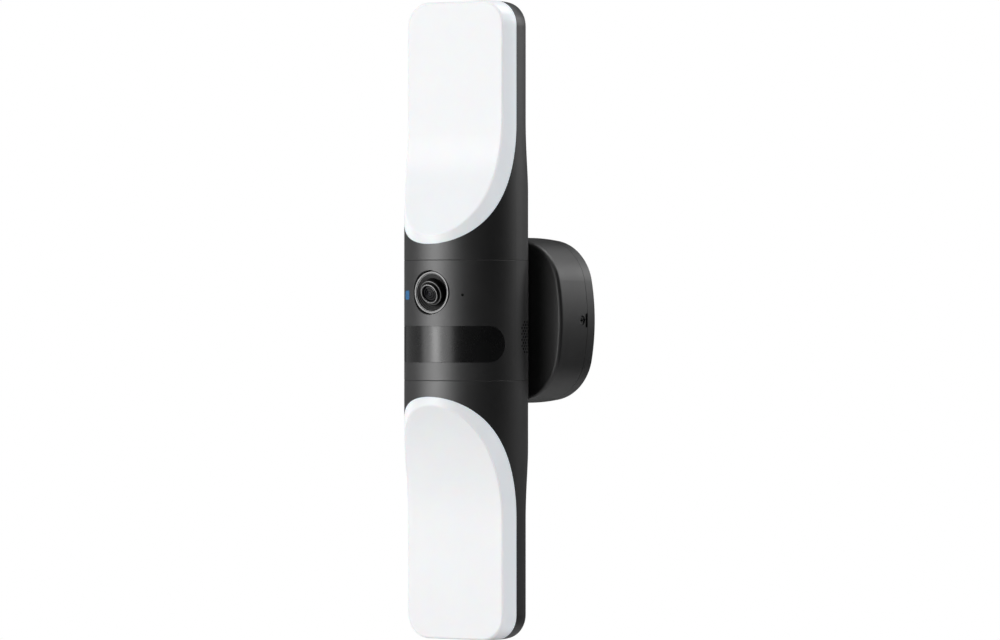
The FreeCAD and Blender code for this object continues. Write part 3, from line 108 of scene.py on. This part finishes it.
# ---- the baffled well between the bezel and the barrel (metres)
WELL_MOUTH_RADIUS = 0.0109
WELL_SET_BACK = 0.0008
WELL_NECK_RADIUS = 0.0079
WELL_NECK_DEPTH = 0.0066
WELL_BACK = 0.0050
WELL_SKIN = 0.0006
WELL_BAFFLES = 5

# ---- the riser of one baffle of the well, as shares of its step: how far inward and how far deeper it goes
BAFFLE_INWARD = 0.10
BAFFLE_DEEPER = 0.75

# ---- the view (degrees, metres, and millimetres for the lens)
VIEW_AZIMUTH = 36.0
VIEW_DISTANCE = 3.284
VIEW_LENS = 198.0
VIEW_AIM_RIGHT = 0.0202
VIEW_AIM_UP = 0.0002

# ---- the floor (metres)
FLOOR_BELOW = 0.5
FLOOR_RADIUS = 1.3

# ---- soft lights: name, azimuth and elevation (degrees), distance, width and height (metres), power (watts)
LIGHTS = (
    ("key", -22.0, 4.0, 1.6, 1.75, 1.7, 19.0),
    ("core", -24.0, 4.0, 1.58, 0.36, 1.7, 10.5),
    ("left", -88.0, 2.0, 1.7, 1.0, 1.7, 1.4),
    ("rim", 151.0, 21.0, 1.8, 0.6, 0.8, 6.5),
    ("back_top", 150.0, 56.0, 1.8, 0.8, 0.8, 10.0),
    ("top", 60.0, 74.0, 1.6, 1.0, 1.0, 5.0),
)

# ---- how strongly the room around the object shines on it
ROOM_STRENGTH = 0.03

# ---- how much a face that looks up counts beside one that looks sideways, in the diffusers' painted light (an emission that brightens their sides and upward faces)
UPWARD_SHARE = 0.65


# ---- small helpers

def direction(azimuth_deg, elevation_deg=0.0):
    """From the object towards a place at this azimuth and height."""
    azimuth = math.radians(azimuth_deg)
    elevation = math.radians(elevation_deg)
    level = math.cos(elevation)
    return Vector((math.sin(azimuth) * level, -math.cos(azimuth) * level, math.sin(elevation)))


def link(obj):
    """Put a new object in the scene."""
    bpy.context.scene.collection.objects.link(obj)
    return obj


def paint(node, material):
    """Give a carried-over CAD node its material."""
    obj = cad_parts[node]
    obj.data.materials.clear()
    obj.data.materials.append(material)


# ---- materials

class Shader:
    """A node material with one Principled shader, and short calls for its textures."""

    def __init__(self, name):
        self.material = bpy.data.materials.new(name)
        self.material.use_nodes = True
        self.nodes = self.material.node_tree.nodes
        self.links = self.material.node_tree.links
        self.principled = self.nodes["Principled BSDF"]
        self.coordinates = self.nodes.new("ShaderNodeTexCoord").outputs["Object"]

    def set(self, **values):
        """Plain numbers for the shader's own sockets."""
        for name, value in values.items():
            self.principled.inputs[name.replace("_", " ")].default_value = value

    def noise(self, scale, detail=3.0, roughness=0.5, stretch=None):
        """Noise through the object, stretched along an axis if asked."""
        node = self.nodes.new("ShaderNodeTexNoise")
        node.inputs["Scale"].default_value = scale
        node.inputs["Detail"].default_value = detail
        node.inputs["Roughness"].default_value = roughness
        source = self.coordinates
        if stretch:
            mapping = self.nodes.new("ShaderNodeMapping")
            mapping.inputs["Scale"].default_value = stretch
            self.links.new(source, mapping.inputs["Vector"])
            source = mapping.outputs["Vector"]
        self.links.new(source, node.inputs["Vector"])
        return node.outputs["Fac"]

    def ramp(self, factor, stops):
        """Colour ramp from (place, colour) pairs."""
        node = self.nodes.new("ShaderNodeValToRGB")
        while len(node.color_ramp.elements) < len(stops):
            node.color_ramp.elements.new(0.5)
        for element, (place, colour) in zip(node.color_ramp.elements, stops):
            element.position = place
            element.color = (*colour, 1.0)
        self.links.new(factor, node.inputs["Fac"])
        return node.outputs["Color"]

    def mottle(self, factor, low, high):
        """Colour that goes softly from one to the other with a noise."""
        return self.ramp(factor, [(0.3, low), (0.7, high)])

    def between(self, factor, low, high):
        """Number that goes from low to high as the factor goes from 0.25 to 0.75."""
        node = self.nodes.new("ShaderNodeMapRange")
        node.inputs["From Min"].default_value = 0.25
        node.inputs["From Max"].default_value = 0.75
        node.inputs["To Min"].default_value = low
        node.inputs["To Max"].default_value = high
        self.links.new(factor, node.inputs["Value"])
        return node.outputs["Result"]

    def maths(self, operation, first, second):
        """Result of the named operation on two numbers or outputs."""
        node = self.nodes.new("ShaderNodeMath")
        node.operation = operation
        for socket, value in zip(node.inputs, (first, second)):
            if isinstance(value, float):
                socket.default_value = value
            else:
                self.links.new(value, socket)
        return node.outputs["Value"]

    def turned_aside(self):
        """0 on faces that look forward, back or down, and more as they turn left, right or up."""
        normal = self.nodes.new("ShaderNodeNewGeometry").outputs["Normal"]
        parts = self.nodes.new("ShaderNodeSeparateXYZ")
        self.links.new(normal, parts.inputs["Vector"])
        sideways = self.maths("MULTIPLY", parts.outputs["X"], parts.outputs["X"])
        share = self.maths("MULTIPLY", parts.outputs["Z"], UPWARD_SHARE)
        upward = self.maths("MAXIMUM", share, 0.0)
        return self.maths("ADD", sideways, upward)

    def measure(self, operation, vector, by=None):
        """Vector that the named operation gives, or a length."""
        node = self.nodes.new("ShaderNodeVectorMath")
        node.operation = operation
        self.links.new(vector, node.inputs[0])
        if by is not None:
            node.inputs[1].default_value = by
        return node.outputs["Value" if operation == "LENGTH" else "Vector"]

    def from_axis(self, point, along):
        """Distance in metres from the line through this point."""
        offset = self.measure("SUBTRACT", self.coordinates, point)
        return self.measure("LENGTH", self.measure("CROSS_PRODUCT", offset, along))

    def scaled(self, value, low, high):
        """0 at low and 1 at high."""
        node = self.nodes.new("ShaderNodeMapRange")
        node.inputs["From Min"].default_value = low
        node.inputs["From Max"].default_value = high
        self.links.new(value, node.inputs["Value"])
        return node.outputs["Result"]

    def from_lens_axis(self, reach):
        """0 on the axis of the lens and 1 at this many millimetres from it."""
        place = lens_frame()
        look = place.to_3x3() @ Vector((0.0, 0.0, 1.0))
        return self.scaled(self.from_axis(place.translation, look), 0.0, reach / PER_METRE)

    def near_surface(self):
        """1 on the bar's round surface and 0 from a little under it."""
        away = self.from_axis((0.0, BAR_AXIS_Y, 0.0), (0.0, 0.0, 1.0))
        return self.scaled(away, BAR_RADIUS - SHADE_AND_MATT_FULL, BAR_RADIUS - SHADE_AND_MATT_BEGINS)

    def mixed(self, kind, factor, low, high):
        """low where the factor is 0 and high, another output, where it is 1."""
        node = self.nodes.new("ShaderNodeMix")
        node.data_type = kind
        sockets = [socket for socket in node.inputs if socket.enabled]
        self.links.new(factor, sockets[0])
        sockets[1].default_value = low
        self.links.new(high, sockets[2])
        return [socket for socket in node.outputs if socket.enabled][0]

    def into(self, socket, output):
        """Link an output to one of the shader's own sockets."""
        self.links.new(output, self.principled.inputs[socket])
        return self

    def bump(self, height, distance, strength=1.0):
        """Fine relief, with its depth in metres."""
        node = self.nodes.new("ShaderNodeBump")
        node.inputs["Distance"].default_value = distance
        node.inputs["Strength"].default_value = strength
        self.links.new(height, node.inputs["Height"])
        self.links.new(node.outputs["Normal"], self.principled.inputs["Normal"])
        return self


def grey(level, blue=1.0):
    """Neutral colour, or one with its blue part raised."""
    return (level, level, level * blue)


def charcoal_plastic(name, shaded_matt_holes=False):
    """Satin dark plastic with a fine moulded grain. Where the surface lies under the bar's round skin, in
    holes and recesses, it is left matt and painted near black as shade.
    """
    s = Shader(name)
    grain = s.noise(5200.0, 2.0)
    cloud = s.noise(38.0, 4.0)
    colour = s.mottle(cloud, grey(0.0045, 1.04), grey(0.0065, 1.04))
    rough = s.between(cloud, 0.46, 0.52)
    if shaded_matt_holes:
        # painted shade: under the bar's round skin the colour goes near black, and the roughness goes matt
        skin = s.near_surface()
        colour = s.mixed("RGBA", skin, (*grey(0.001), 1.0), colour)
        rough = s.mixed("FLOAT", skin, 1.0, rough)
    s.into("Base Color", colour)
    s.into("Roughness", rough)
    s.set(IOR=1.85, Sheen_Weight=0.14, Sheen_Roughness=0.35)
    return s.bump(grain, 0.000012, 0.5).material


def diffuser_plastic():
    """Milky plastic with painted light: an emission brightens its sides and the faces that look up, standing
    in for light scattered through it.
    """
    s = Shader("milky_plastic")
    cloud = s.noise(22.0, 3.0)
    grain = s.noise(2600.0, 2.0)
    s.into("Base Color", s.mottle(cloud, (0.80, 0.805, 0.815), (0.82, 0.825, 0.835)))
    s.into("Roughness", s.between(cloud, 0.30, 0.36))
    s.set(IOR=1.49, Subsurface_Weight=0.25, Subsurface_Scale=0.004, Emission_Strength=1.0)
    # painted light: emission set by the way a face turns, none on the front face
    painted_side_and_top_light = [(0.05, (0.0, 0.0, 0.0)), (0.8, (0.42, 0.445, 0.47))]
    s.into("Emission Color", s.ramp(s.turned_aside(), painted_side_and_top_light))
    return s.bump(grain, 0.000006, 0.4).material


def smoked_plastic():
    """Glossier dark plastic of the motion sensor's window."""
    s = Shader("smoked_window")
    cloud = s.noise(60.0, 4.0)
    s.into("Base Color", s.mottle(cloud, grey(0.0045), grey(0.0065)))
    s.into("Roughness", s.between(cloud, 0.25, 0.30))
    s.set(IOR=1.62)
    return s.bump(s.noise(900.0, 2.0), 0.000003, 0.3).material


def bezel_satin():
    """Satin anodised metal of the bezel, with a fine even grain."""
    s = Shader("bezel_satin")
    cloud = s.noise(240.0, 3.0)
    s.into("Base Color", s.mottle(cloud, grey(0.13), grey(0.16)))
    s.into("Roughness", s.between(cloud, 0.36, 0.42))
    s.set(Metallic=0.7, IOR=1.8)
    return s.bump(s.noise(4000.0, 2.0), 0.000004, 0.4).material


def baffle_black():
    """Matt moulded black of the well and of the parts behind the lens."""
    s = Shader("baffle_black")
    cloud = s.noise(300.0, 3.0)
    s.into("Base Color", s.mottle(cloud, grey(0.005), grey(0.008)))
    s.into("Roughness", s.between(cloud, 0.46, 0.54))
    s.set(IOR=1.35)
    return s.bump(s.noise(6000.0, 2.0), 0.00001, 0.5).material


def painted_pit_shade():
    """Near-black matt: painted shade for the dark inside of a narrow hole."""
    s = Shader("painted_pit_shade")
    cloud = s.noise(900.0, 3.0)
    s.into("Base Color", s.mottle(cloud, grey(0.001), grey(0.002)))
    s.into("Roughness", s.between(cloud, 0.85, 0.95))
    s.set(IOR=1.1)
    return s.bump(cloud, 0.00001, 0.4).material


def barrel_black():
    """Blackened metal of the barrel, with painted highlights: a bright band on the nose and a fainter one at
    the shoulder.
    """
    s = Shader("barrel_black")
    dark = grey(0.015)
    # painted highlights: the grey bands on the nose and at the shoulder
    nose = grey(0.26)
    edge = grey(0.12)
    highlight_bands = [(0.0, dark), (0.67, dark), (0.70, nose), (0.76, nose), (0.79, dark), (0.90, dark)]
    highlight_bands += [(0.93, edge), (0.98, edge), (1.0, dark)]
    s.into("Base Color", s.ramp(s.from_lens_axis(BARREL_RADIUS), highlight_bands))
    grain = s.noise(900.0, 2.0)
    s.into("Roughness", s.between(grain, 0.30, 0.38))
    s.set(Metallic=0.7)
    return s.bump(grain, 0.000005, 0.4).material


def dark_glass():
    """Front element: opaque dark glass whose near-black colour paints the shade inside the lens, with painted
    reflections: faint rings of colour for the elements behind it and a violet one in the middle for their
    coating.
    """
    s = Shader("dark_glass")
    # painted shade and painted reflections: black for the dark inside of the lens, violet and grey rings for
    # light off the elements behind
    black = (0.002, 0.002, 0.003)
    violet_reflection = (0.010, 0.009, 0.016)
    painted_reflection_rings = [(0.0, violet_reflection), (0.14, violet_reflection), (0.20, grey(0.05)), (0.25, black)]
    painted_reflection_rings += [(0.44, black), (0.49, grey(0.028)), (0.54, black)]
    painted_reflection_rings += [(0.74, black), (0.80, grey(0.035)), (0.86, black)]
    s.into("Base Color", s.ramp(s.from_lens_axis(GLASS_REFLECTION_REACH), painted_reflection_rings))
    s.into("Roughness", s.between(s.noise(160.0, 2.0), 0.05, 0.08))
    s.set(IOR=1.24)
    return s.bump(s.noise(260.0, 2.0), 0.0000008, 0.1).material


def coated_glass():
    """Inner elements, dark with a bluish coating."""
    s = Shader("coated_glass")
    tint = s.noise(160.0, 2.0)
    s.into("Base Color", s.mottle(tint, (0.006, 0.007, 0.012), (0.010, 0.012, 0.018)))
    s.into("Roughness", s.between(tint, 0.05, 0.09))
    return s.bump(tint, 0.000001, 0.1).material


def blue_light():
    """Status light, blue and lit."""
    s = Shader("status_light")
    cloud = s.noise(500.0, 2.0)
    colour = s.mottle(cloud, (0.006, 0.055, 0.14), (0.011, 0.09, 0.21))
    s.into("Base Color", colour).into("Emission Color", colour)
    s.into("Roughness", s.between(cloud, 0.25, 0.35))
    s.set(Emission_Strength=0.7)
    return s.bump(cloud, 0.000003, 0.3).material


def rubber():
    """Soft black rubber of the seals."""
    s = Shader("soft_rubber")
    cloud = s.noise(700.0, 4.0)
    s.into("Base Color", s.mottle(cloud, grey(0.012), grey(0.020)))
    s.into("Roughness", s.between(cloud, 0.6, 0.75))
    return s.bump(cloud, 0.00003, 0.5).material


def metal(name, low, high, rough, grain, stretch=None):
    """Bare metal with a streaked or mottled grain."""
    s = Shader(name)
    streak = s.noise(grain, 4.0, 0.6, stretch)
    s.into("Base Color", s.mottle(streak, low, high))
    s.into("Roughness", s.between(streak, rough, rough + 0.14))
    s.set(Metallic=1.0)
    return s.bump(streak, 0.00001, 0.4).material


def moulded(name, low, high, rough, grain=1400.0):
    """Plain moulded or coated stuff with a faint mottling."""
    s = Shader(name)
    cloud = s.noise(grain / 8, 4.0)
    s.into("Base Color", s.mottle(cloud, low, high))
    s.into("Roughness", s.between(cloud, rough, rough + 0.1))
    return s.bump(s.noise(grain, 2.0), 0.00001, 0.5).material


def circuit_board(name, mask, copper):
    """Solder mask over copper tracks."""
    s = Shader(name)
    tracks = s.nodes.new("ShaderNodeTexBrick")
    tracks.inputs["Scale"].default_value = 260.0
    tracks.inputs["Mortar Size"].default_value = 0.06
    tracks.inputs["Color1"].default_value = (*mask, 1.0)
    tracks.inputs["Color2"].default_value = (*[m * 0.85 for m in mask], 1.0)
    tracks.inputs["Mortar"].default_value = (*copper, 1.0)
    s.links.new(s.coordinates, tracks.inputs["Vector"])
    s.into("Base Color", tracks.outputs["Color"])
    s.into("Roughness", s.between(s.noise(300.0), 0.25, 0.4))
    return s.bump(tracks.outputs["Fac"], 0.00003, 0.6).material


def paint_all():
    """Materials of the carried-over CAD nodes."""
    steel = metal("zinc_steel", grey(0.42), grey(0.62), 0.28, 400.0)
    finishes = (
        (charcoal_plastic("charcoal_plastic"), ("upper_housing", "lower_housing", "base_cover", "rear_ring",
                                                "pair_button")),
        (charcoal_plastic("charcoal_centre", shaded_matt_holes=True), ("centre_housing",)),
        (diffuser_plastic(), ("upper_diffuser", "lower_diffuser")),
        (smoked_plastic(), ("pir_window",)),
        (blue_light(), ("status_light_pipe",)),
        (baffle_black(), ("lens_holder", "filter_frame", "filter_carriage")),
        (coated_glass(), ("inner_lenses", "filter_glass")),
        (rubber(), ("wall_gasket", "neck_seal", "seam_seals", "upper_seal", "lower_seal", "microphone_boot",
                    "speaker_surround")),
        (steel, ("mounting_plate", "arm_screws", "light_screws", "driver_screws", "neck_screws", "pir_sensor",
                 "filter_lever", "speaker_magnet")),
        (metal("black_steel", grey(0.13), grey(0.18), 0.35, 500.0), ("side_screws",)),
        (metal("brass", (0.55, 0.40, 0.14), (0.72, 0.54, 0.22), 0.2, 500.0), ("ground_screw",)),
        (metal("rolled_aluminium", grey(0.6), grey(0.74), 0.3, 160.0, (1.0, 1.0, 0.05)),
         ("upper_heat_spreader", "lower_heat_spreader", "capacitors")),
        (circuit_board("green_board", (0.01, 0.10, 0.045), (0.03, 0.20, 0.09)),
         ("main_board", "driver_board", "pir_board", "sensor_board", "button_switch")),
        (circuit_board("white_board", (0.80, 0.80, 0.78), (0.70, 0.71, 0.70)),
         ("upper_light_board", "lower_light_board")),
        (moulded("phosphor", (0.85, 0.70, 0.28), (0.92, 0.80, 0.40), 0.3), ("upper_leds", "lower_leds")),
        (moulded("chip_black", grey(0.012), grey(0.02), 0.4),
         ("board_chips", "image_sensor", "microphone", "transformer", "filter_motor", "speaker_frame")),
        (moulded("nylon", (0.62, 0.60, 0.54), (0.70, 0.68, 0.62), 0.4), ("terminal_block",)),
        (moulded("fresnel_film", grey(0.62), grey(0.70), 0.35), ("fresnel_lens",)),
        (moulded("lead_sleeve", grey(0.05), grey(0.08), 0.45), ("base_harness", "lamp_harnesses")),
        (moulded("paper_cone", (0.10, 0.09, 0.08), (0.15, 0.14, 0.12), 0.8, 2400.0), ("speaker_cone",)),
        (moulded("acoustic_mesh", grey(0.008), grey(0.02), 0.8, 5000.0), ("speaker_mesh",)),
    )
    for material, nodes in finishes:
        for node in nodes:
            paint(node, material)


# ---- turned pieces of the camera

def lens_frame():
    """Local frame whose +Z looks out of the lens, with its origin at the barrel's front."""
    look = Vector((0.0, -math.cos(LENS_TILT), -math.sin(LENS_TILT)))
    across = Vector((1.0, 0.0, 0.0))
    up = look.cross(across)
    matrix = Matrix((across, up, look)).transposed().to_4x4()
    matrix.translation = Vector((0.0, BAR_AXIS_Y - BAR_RADIUS - LENS_PROUD, LENS_HEIGHT))
    return matrix


def bezel_frame():
    """Local frame whose +Z looks straight out of the bar, at the bezel's front plane."""
    matrix = Matrix.Rotation(math.radians(90.0), 4, "X")
    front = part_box("lens_bezel")[0][1]
    matrix.translation = Vector((0.0, front, BEZEL_HEIGHT))
    return matrix


def join_rows(mesh, rows):
    """Faces from each closed row of vertices to the next, all the way round."""
    count = len(rows[0])
    for step, here in enumerate(rows):
        there = rows[(step + 1) % len(rows)]
        for k in range(count):
            mesh.faces.new((here[k], there[k], there[(k + 1) % count], here[(k + 1) % count]))


def turn(mesh, outline, place, steps):
    """Add to the mesh a ring turned from a closed outline of (radius, height) points in millimetres."""
    rows = []
    for step in range(steps):
        angle = 2 * math.pi * step / steps
        row = []
        for radius, height in outline:
            point = Vector((radius * math.cos(angle), radius * math.sin(angle), height)) / PER_METRE
            row.append(mesh.verts.new(place @ point))
        rows.append(row)
    join_rows(mesh, rows)


def turned(name, outline, place, material, steps=160):
    """Finished piece turned from one outline."""
    mesh = bmesh.new()
    turn(mesh, outline, place, steps)
    return finished(name, mesh, material)


def finished(name, mesh, material):
    """Object made from a mesh, smooth but for its sharp edges, riding on the fixture."""
    bmesh.ops.remove_doubles(mesh, verts=mesh.verts, dist=1e-7)
    bmesh.ops.recalc_face_normals(mesh, faces=mesh.faces)
    for face in mesh.faces:
        face.smooth = True
    data = bpy.data.meshes.new(name)
    mesh.to_mesh(data)
    mesh.free()
    data.materials.append(material)
    data.set_sharp_from_angle(angle=math.radians(40.0))
    obj = link(bpy.data.objects.new(name, data))
    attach(obj, FIXTURE)
    return obj


def arc(centre_r, centre_h, radius, start_deg, end_deg, steps):
    """Points along an arc of an outline, in millimetres."""
    points = []
    for step in range(steps + 1):
        angle = math.radians(start_deg + (end_deg - start_deg) * step / steps)
        points.append((centre_r + radius * math.cos(angle), centre_h + radius * math.sin(angle)))
    return points


def bezel_ring(place):
    """Satin ring, stepped to leave a groove round its rim, with a rounded crest and a bevel into the well."""
    skirt = [(BEZEL_OUTER, BEZEL_BACK), (BEZEL_OUTER, BEZEL_STEP), (BEZEL_RIM, BEZEL_STEP)]
    rim = arc(BEZEL_RIM - BEZEL_ROUND, -BEZEL_ROUND, BEZEL_ROUND, 0, 90, 5)
    crest = arc(BEZEL_CREST, -BEZEL_ROUND, BEZEL_ROUND, 90, 165, 4)
    bevel = [(BEZEL_INNER + 0.35, -0.5), (BEZEL_INNER + 0.12, -0.55), (BEZEL_INNER, -1.2)]
    bore = [(BEZEL_INNER, BEZEL_BACK)]
    return turned("bezel_ring", skirt + rim + crest + bevel + bore, place, bezel_satin())


def lens_well(mouth_frame, neck_frame, steps=144):
    """Baffled well: it steps in from the bezel's circle to the tilted circle round the barrel."""
    mesh = bmesh.new()
    profile = []
    for k in range(WELL_BAFFLES):
        start = k / WELL_BAFFLES
        riser_end = (start + BAFFLE_INWARD / WELL_BAFFLES, (k + BAFFLE_DEEPER) / WELL_BAFFLES)
        profile += [(start, start), riser_end]
    profile.append((1.0, 1.0))
    rows = []
    for step in range(steps):
        angle = 2 * math.pi * step / steps
        around = Vector((math.cos(angle), math.sin(angle), 0.0))
        mouth = mouth_frame @ (around * WELL_MOUTH_RADIUS + Vector((0, 0, -WELL_SET_BACK)))
        neck = neck_frame @ (around * WELL_NECK_RADIUS + Vector((0, 0, -WELL_NECK_DEPTH)))
        back = mouth_frame @ (around * WELL_MOUTH_RADIUS + Vector((0, 0, -WELL_BACK)))
        inward = neck - mouth
        deep = Vector((0.0, inward.y, 0.0))
        row = [mouth + (inward - deep) * u + deep * v for u, v in profile]
        row.append(neck + Vector((0.0, WELL_SKIN, 0.0)))
        row.append(back)
        rows.append([mesh.verts.new(point) for point in row])
    join_rows(mesh, rows)
    return finished("lens_well", mesh, baffle_black())


def barrel(place):
    """Stepped barrel with a rounded shoulder, a nose whose bright band is a painted highlight in its
    material, and a bevelled seat for the glass.
    """
    stem = [(5.6, BARREL_BACK), (5.6, -6.0), (BARREL_RADIUS, -6.0), (BARREL_RADIUS, -2.5)]
    shoulder = arc(7.15, -2.25, 0.45, 0, 90, 5)
    groove = [(6.75, -1.8), (6.7, -2.15), (6.25, -2.15), (6.0, -1.9), (6.0, -0.45)]
    nose = arc(5.6, -0.4, 0.4, 10, 90, 5)
    bevel = [(5.35, -0.02), (5.2, -0.35), (5.05, -0.4)]
    seat = [(5.0, -1.0), (4.95, -1.05), (4.9, -3.05)]
    bore = [(4.4, -3.1), (4.4, BARREL_BACK)]
    outline = stem + shoulder + groove + nose + bevel + seat + bore
    return turned("barrel", outline, place, barrel_black())


def front_glass(place):
    """Domed front element with a flat rim."""
    rim_front = -1.35
    dome_edge = 4.6
    dome_top = -0.55
    dome_radius = 18.0
    outline = [(0.0, GLASS_BACK), (GLASS_RIM, GLASS_BACK), (GLASS_RIM, rim_front)]
    edge_angle = math.degrees(math.acos(dome_edge / dome_radius))
    outline += arc(0.0, dome_top - dome_radius, dome_radius, edge_angle, 90, 14)
    return turned("front_glass", outline, place, dark_glass(), steps=96)


def on_bar(angle, height_mm):
    """Frame on the bar's surface whose +Z points straight out of it."""
    out = direction(angle)
    place = out.to_track_quat("Z", "Y").to_matrix().to_4x4()
    place.translation = Vector((0.0, BAR_AXIS_Y, height_mm / PER_METRE)) + out * BAR_RADIUS
    return place


def liner(outer, inner, depth):
    """Outline of a thin-walled liner with a flange just proud of the bar."""
    flange = [(outer, FLANGE_BACK), (outer, FLANGE_FRONT), (inner, FLANGE_FRONT)]
    tube = [(inner, -depth), (inner + LINER_WALL, -depth), (inner + LINER_WALL, FLANGE_BACK)]
    return flange + tube


def microphone_port_shade():
    """Port of the microphone, beside the bezel: a near-black liner that paints the shade in its hole."""
    port = liner(PORT_OUTER, PORT_INNER, PORT_DEPTH)
    turned("microphone_port_shade", port, on_bar(MIC_ANGLE, MIC_HEIGHT), painted_pit_shade(), 32)


def speaker_shade_liners():
    """One near-black liner in each hole of the speaker's staggered field, painted shade for the dark inside
    of the holes.
    """
    mesh = bmesh.new()
    lining = liner(LINER_OUTER, LINER_INNER, LINER_DEPTH)
    step = math.degrees(HOLE_COLUMN_PITCH / (BAR_RADIUS * PER_METRE))
    for column in range(HOLE_COLUMNS):
        angle = SPEAKER_ANGLE + (column - (HOLE_COLUMNS - 1) / 2) * step
        at_edge = column in (0, HOLE_COLUMNS - 1)
        for row in range(HOLE_ROWS):
            if (row + column) % 2 or (at_edge and row in (0, HOLE_ROWS - 1)):
                continue
            height = SPEAKER_HEIGHT + (row - (HOLE_ROWS - 1) / 2) * HOLE_ROW_PITCH
            turn(mesh, lining, on_bar(angle, height), steps=20)
    finished("speaker_shade_liners", mesh, painted_pit_shade())


def seam_lips():
    """Thin lips that close the seams between the centre and the lamps, a little under the surface."""
    up = Matrix.Translation(Vector((0.0, BAR_AXIS_Y, 0.0)))
    soft = rubber()
    for name, height in (("upper_seam_lip", CENTRE_HIGH[2]), ("lower_seam_lip", CENTRE_LOW[2])):
        middle = height * PER_METRE + math.copysign(SEAM_GAP / 2, height)
        low = middle - LIP_THICKNESS / 2
        high = middle + LIP_THICKNESS / 2
        outline = [(LIP_INNER, low), (LIP_OUTER, low), (LIP_OUTER, high), (LIP_INNER, high)]
        turned(name, outline, up, soft, 240)


def camera_pieces():
    """Finer versions of four CAD nodes."""
    mouth = bezel_frame()
    lens = lens_frame()
    made = (
        (bezel_ring(mouth), "lens_bezel", "bezel"),
        (lens_well(mouth, lens), "lens_funnel", "lens_black"),
        (barrel(lens), "lens_barrel", "lens_black"),
        (front_glass(lens), "front_lens", "lens_glass"),
    )
    for piece, node, slot in made:
        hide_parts(node)


def stage():
    """Pale round floor under the object."""
    floor = bmesh.new()
    bmesh.ops.create_circle(floor, cap_ends=True, radius=FLOOR_RADIUS, segments=96)
    data = bpy.data.meshes.new("floor")
    floor.to_mesh(data)
    floor.free()
    obj = link(bpy.data.objects.new("floor", data))
    obj.location = (0.0, BAR_AXIS_Y, -TOP - FLOOR_BELOW)
    data.materials.append(moulded("pale_floor", grey(0.82), grey(0.85), 0.6, 40.0))


def view():
    """Camera with a long lens, looking level at the object from its front right."""
    away = direction(VIEW_AZIMUTH)
    right = direction(VIEW_AZIMUTH + 90.0)
    axis_point = Vector((0.0, BAR_AXIS_Y, 0.0))
    aim = axis_point + right * VIEW_AIM_RIGHT + Vector((0.0, 0.0, VIEW_AIM_UP))
    data = bpy.data.cameras.new("view")
    data.lens = VIEW_LENS
    data.clip_start = 0.1
    data.clip_end = 30.0
    camera = link(bpy.data.objects.new("view", data))
    camera.location = aim + away * VIEW_DISTANCE
    camera.rotation_euler = (-away).to_track_quat("-Z", "Y").to_euler()
    bpy.context.scene.camera = camera


def softbox(name, azimuth, elevation, distance, width, height, power):
    """White rectangle of light that shines on the bar and can't be seen itself."""
    data = bpy.data.lights.new(name, "AREA")
    data.shape = "RECTANGLE"
    data.size = width
    data.size_y = height
    data.energy = power
    lamp = link(bpy.data.objects.new(name, data))
    away = direction(azimuth, elevation)
    lamp.location = Vector((0.0, BAR_AXIS_Y, 0.0)) + away * distance
    lamp.rotation_euler = (-away).to_track_quat("-Z", "Z").to_euler()
    lamp.visible_camera = False


def studio():
    """The soft lights, and a room that looks white to the camera and is dim to everything else."""
    for light in LIGHTS:
        softbox(*light)
    world = bpy.data.worlds.new("studio")
    bpy.context.scene.world = world
    world.use_nodes = True
    nodes = world.node_tree.nodes
    links = world.node_tree.links
    seen = nodes["Background"]
    seen.inputs["Color"].default_value = (1.0, 1.0, 1.0, 1.0)
    seen.inputs["Strength"].default_value = 1.0
    room = nodes.new("ShaderNodeBackground")
    room.inputs["Color"].default_value = (0.92, 0.95, 1.0, 1.0)
    room.inputs["Strength"].default_value = ROOM_STRENGTH
    path = nodes.new("ShaderNodeLightPath")
    mix = nodes.new("ShaderNodeMixShader")
    links.new(path.outputs["Is Camera Ray"], mix.inputs["Fac"])
    links.new(room.outputs["Background"], mix.inputs[1])
    links.new(seen.outputs["Background"], mix.inputs[2])
    links.new(mix.outputs["Shader"], nodes["World Output"].inputs["Surface"])
    bpy.context.scene.view_settings.view_transform = "Standard"


stage()
view()
studio()
paint_all()
camera_pieces()
seam_lips()
microphone_port_shade()
speaker_shade_liners()
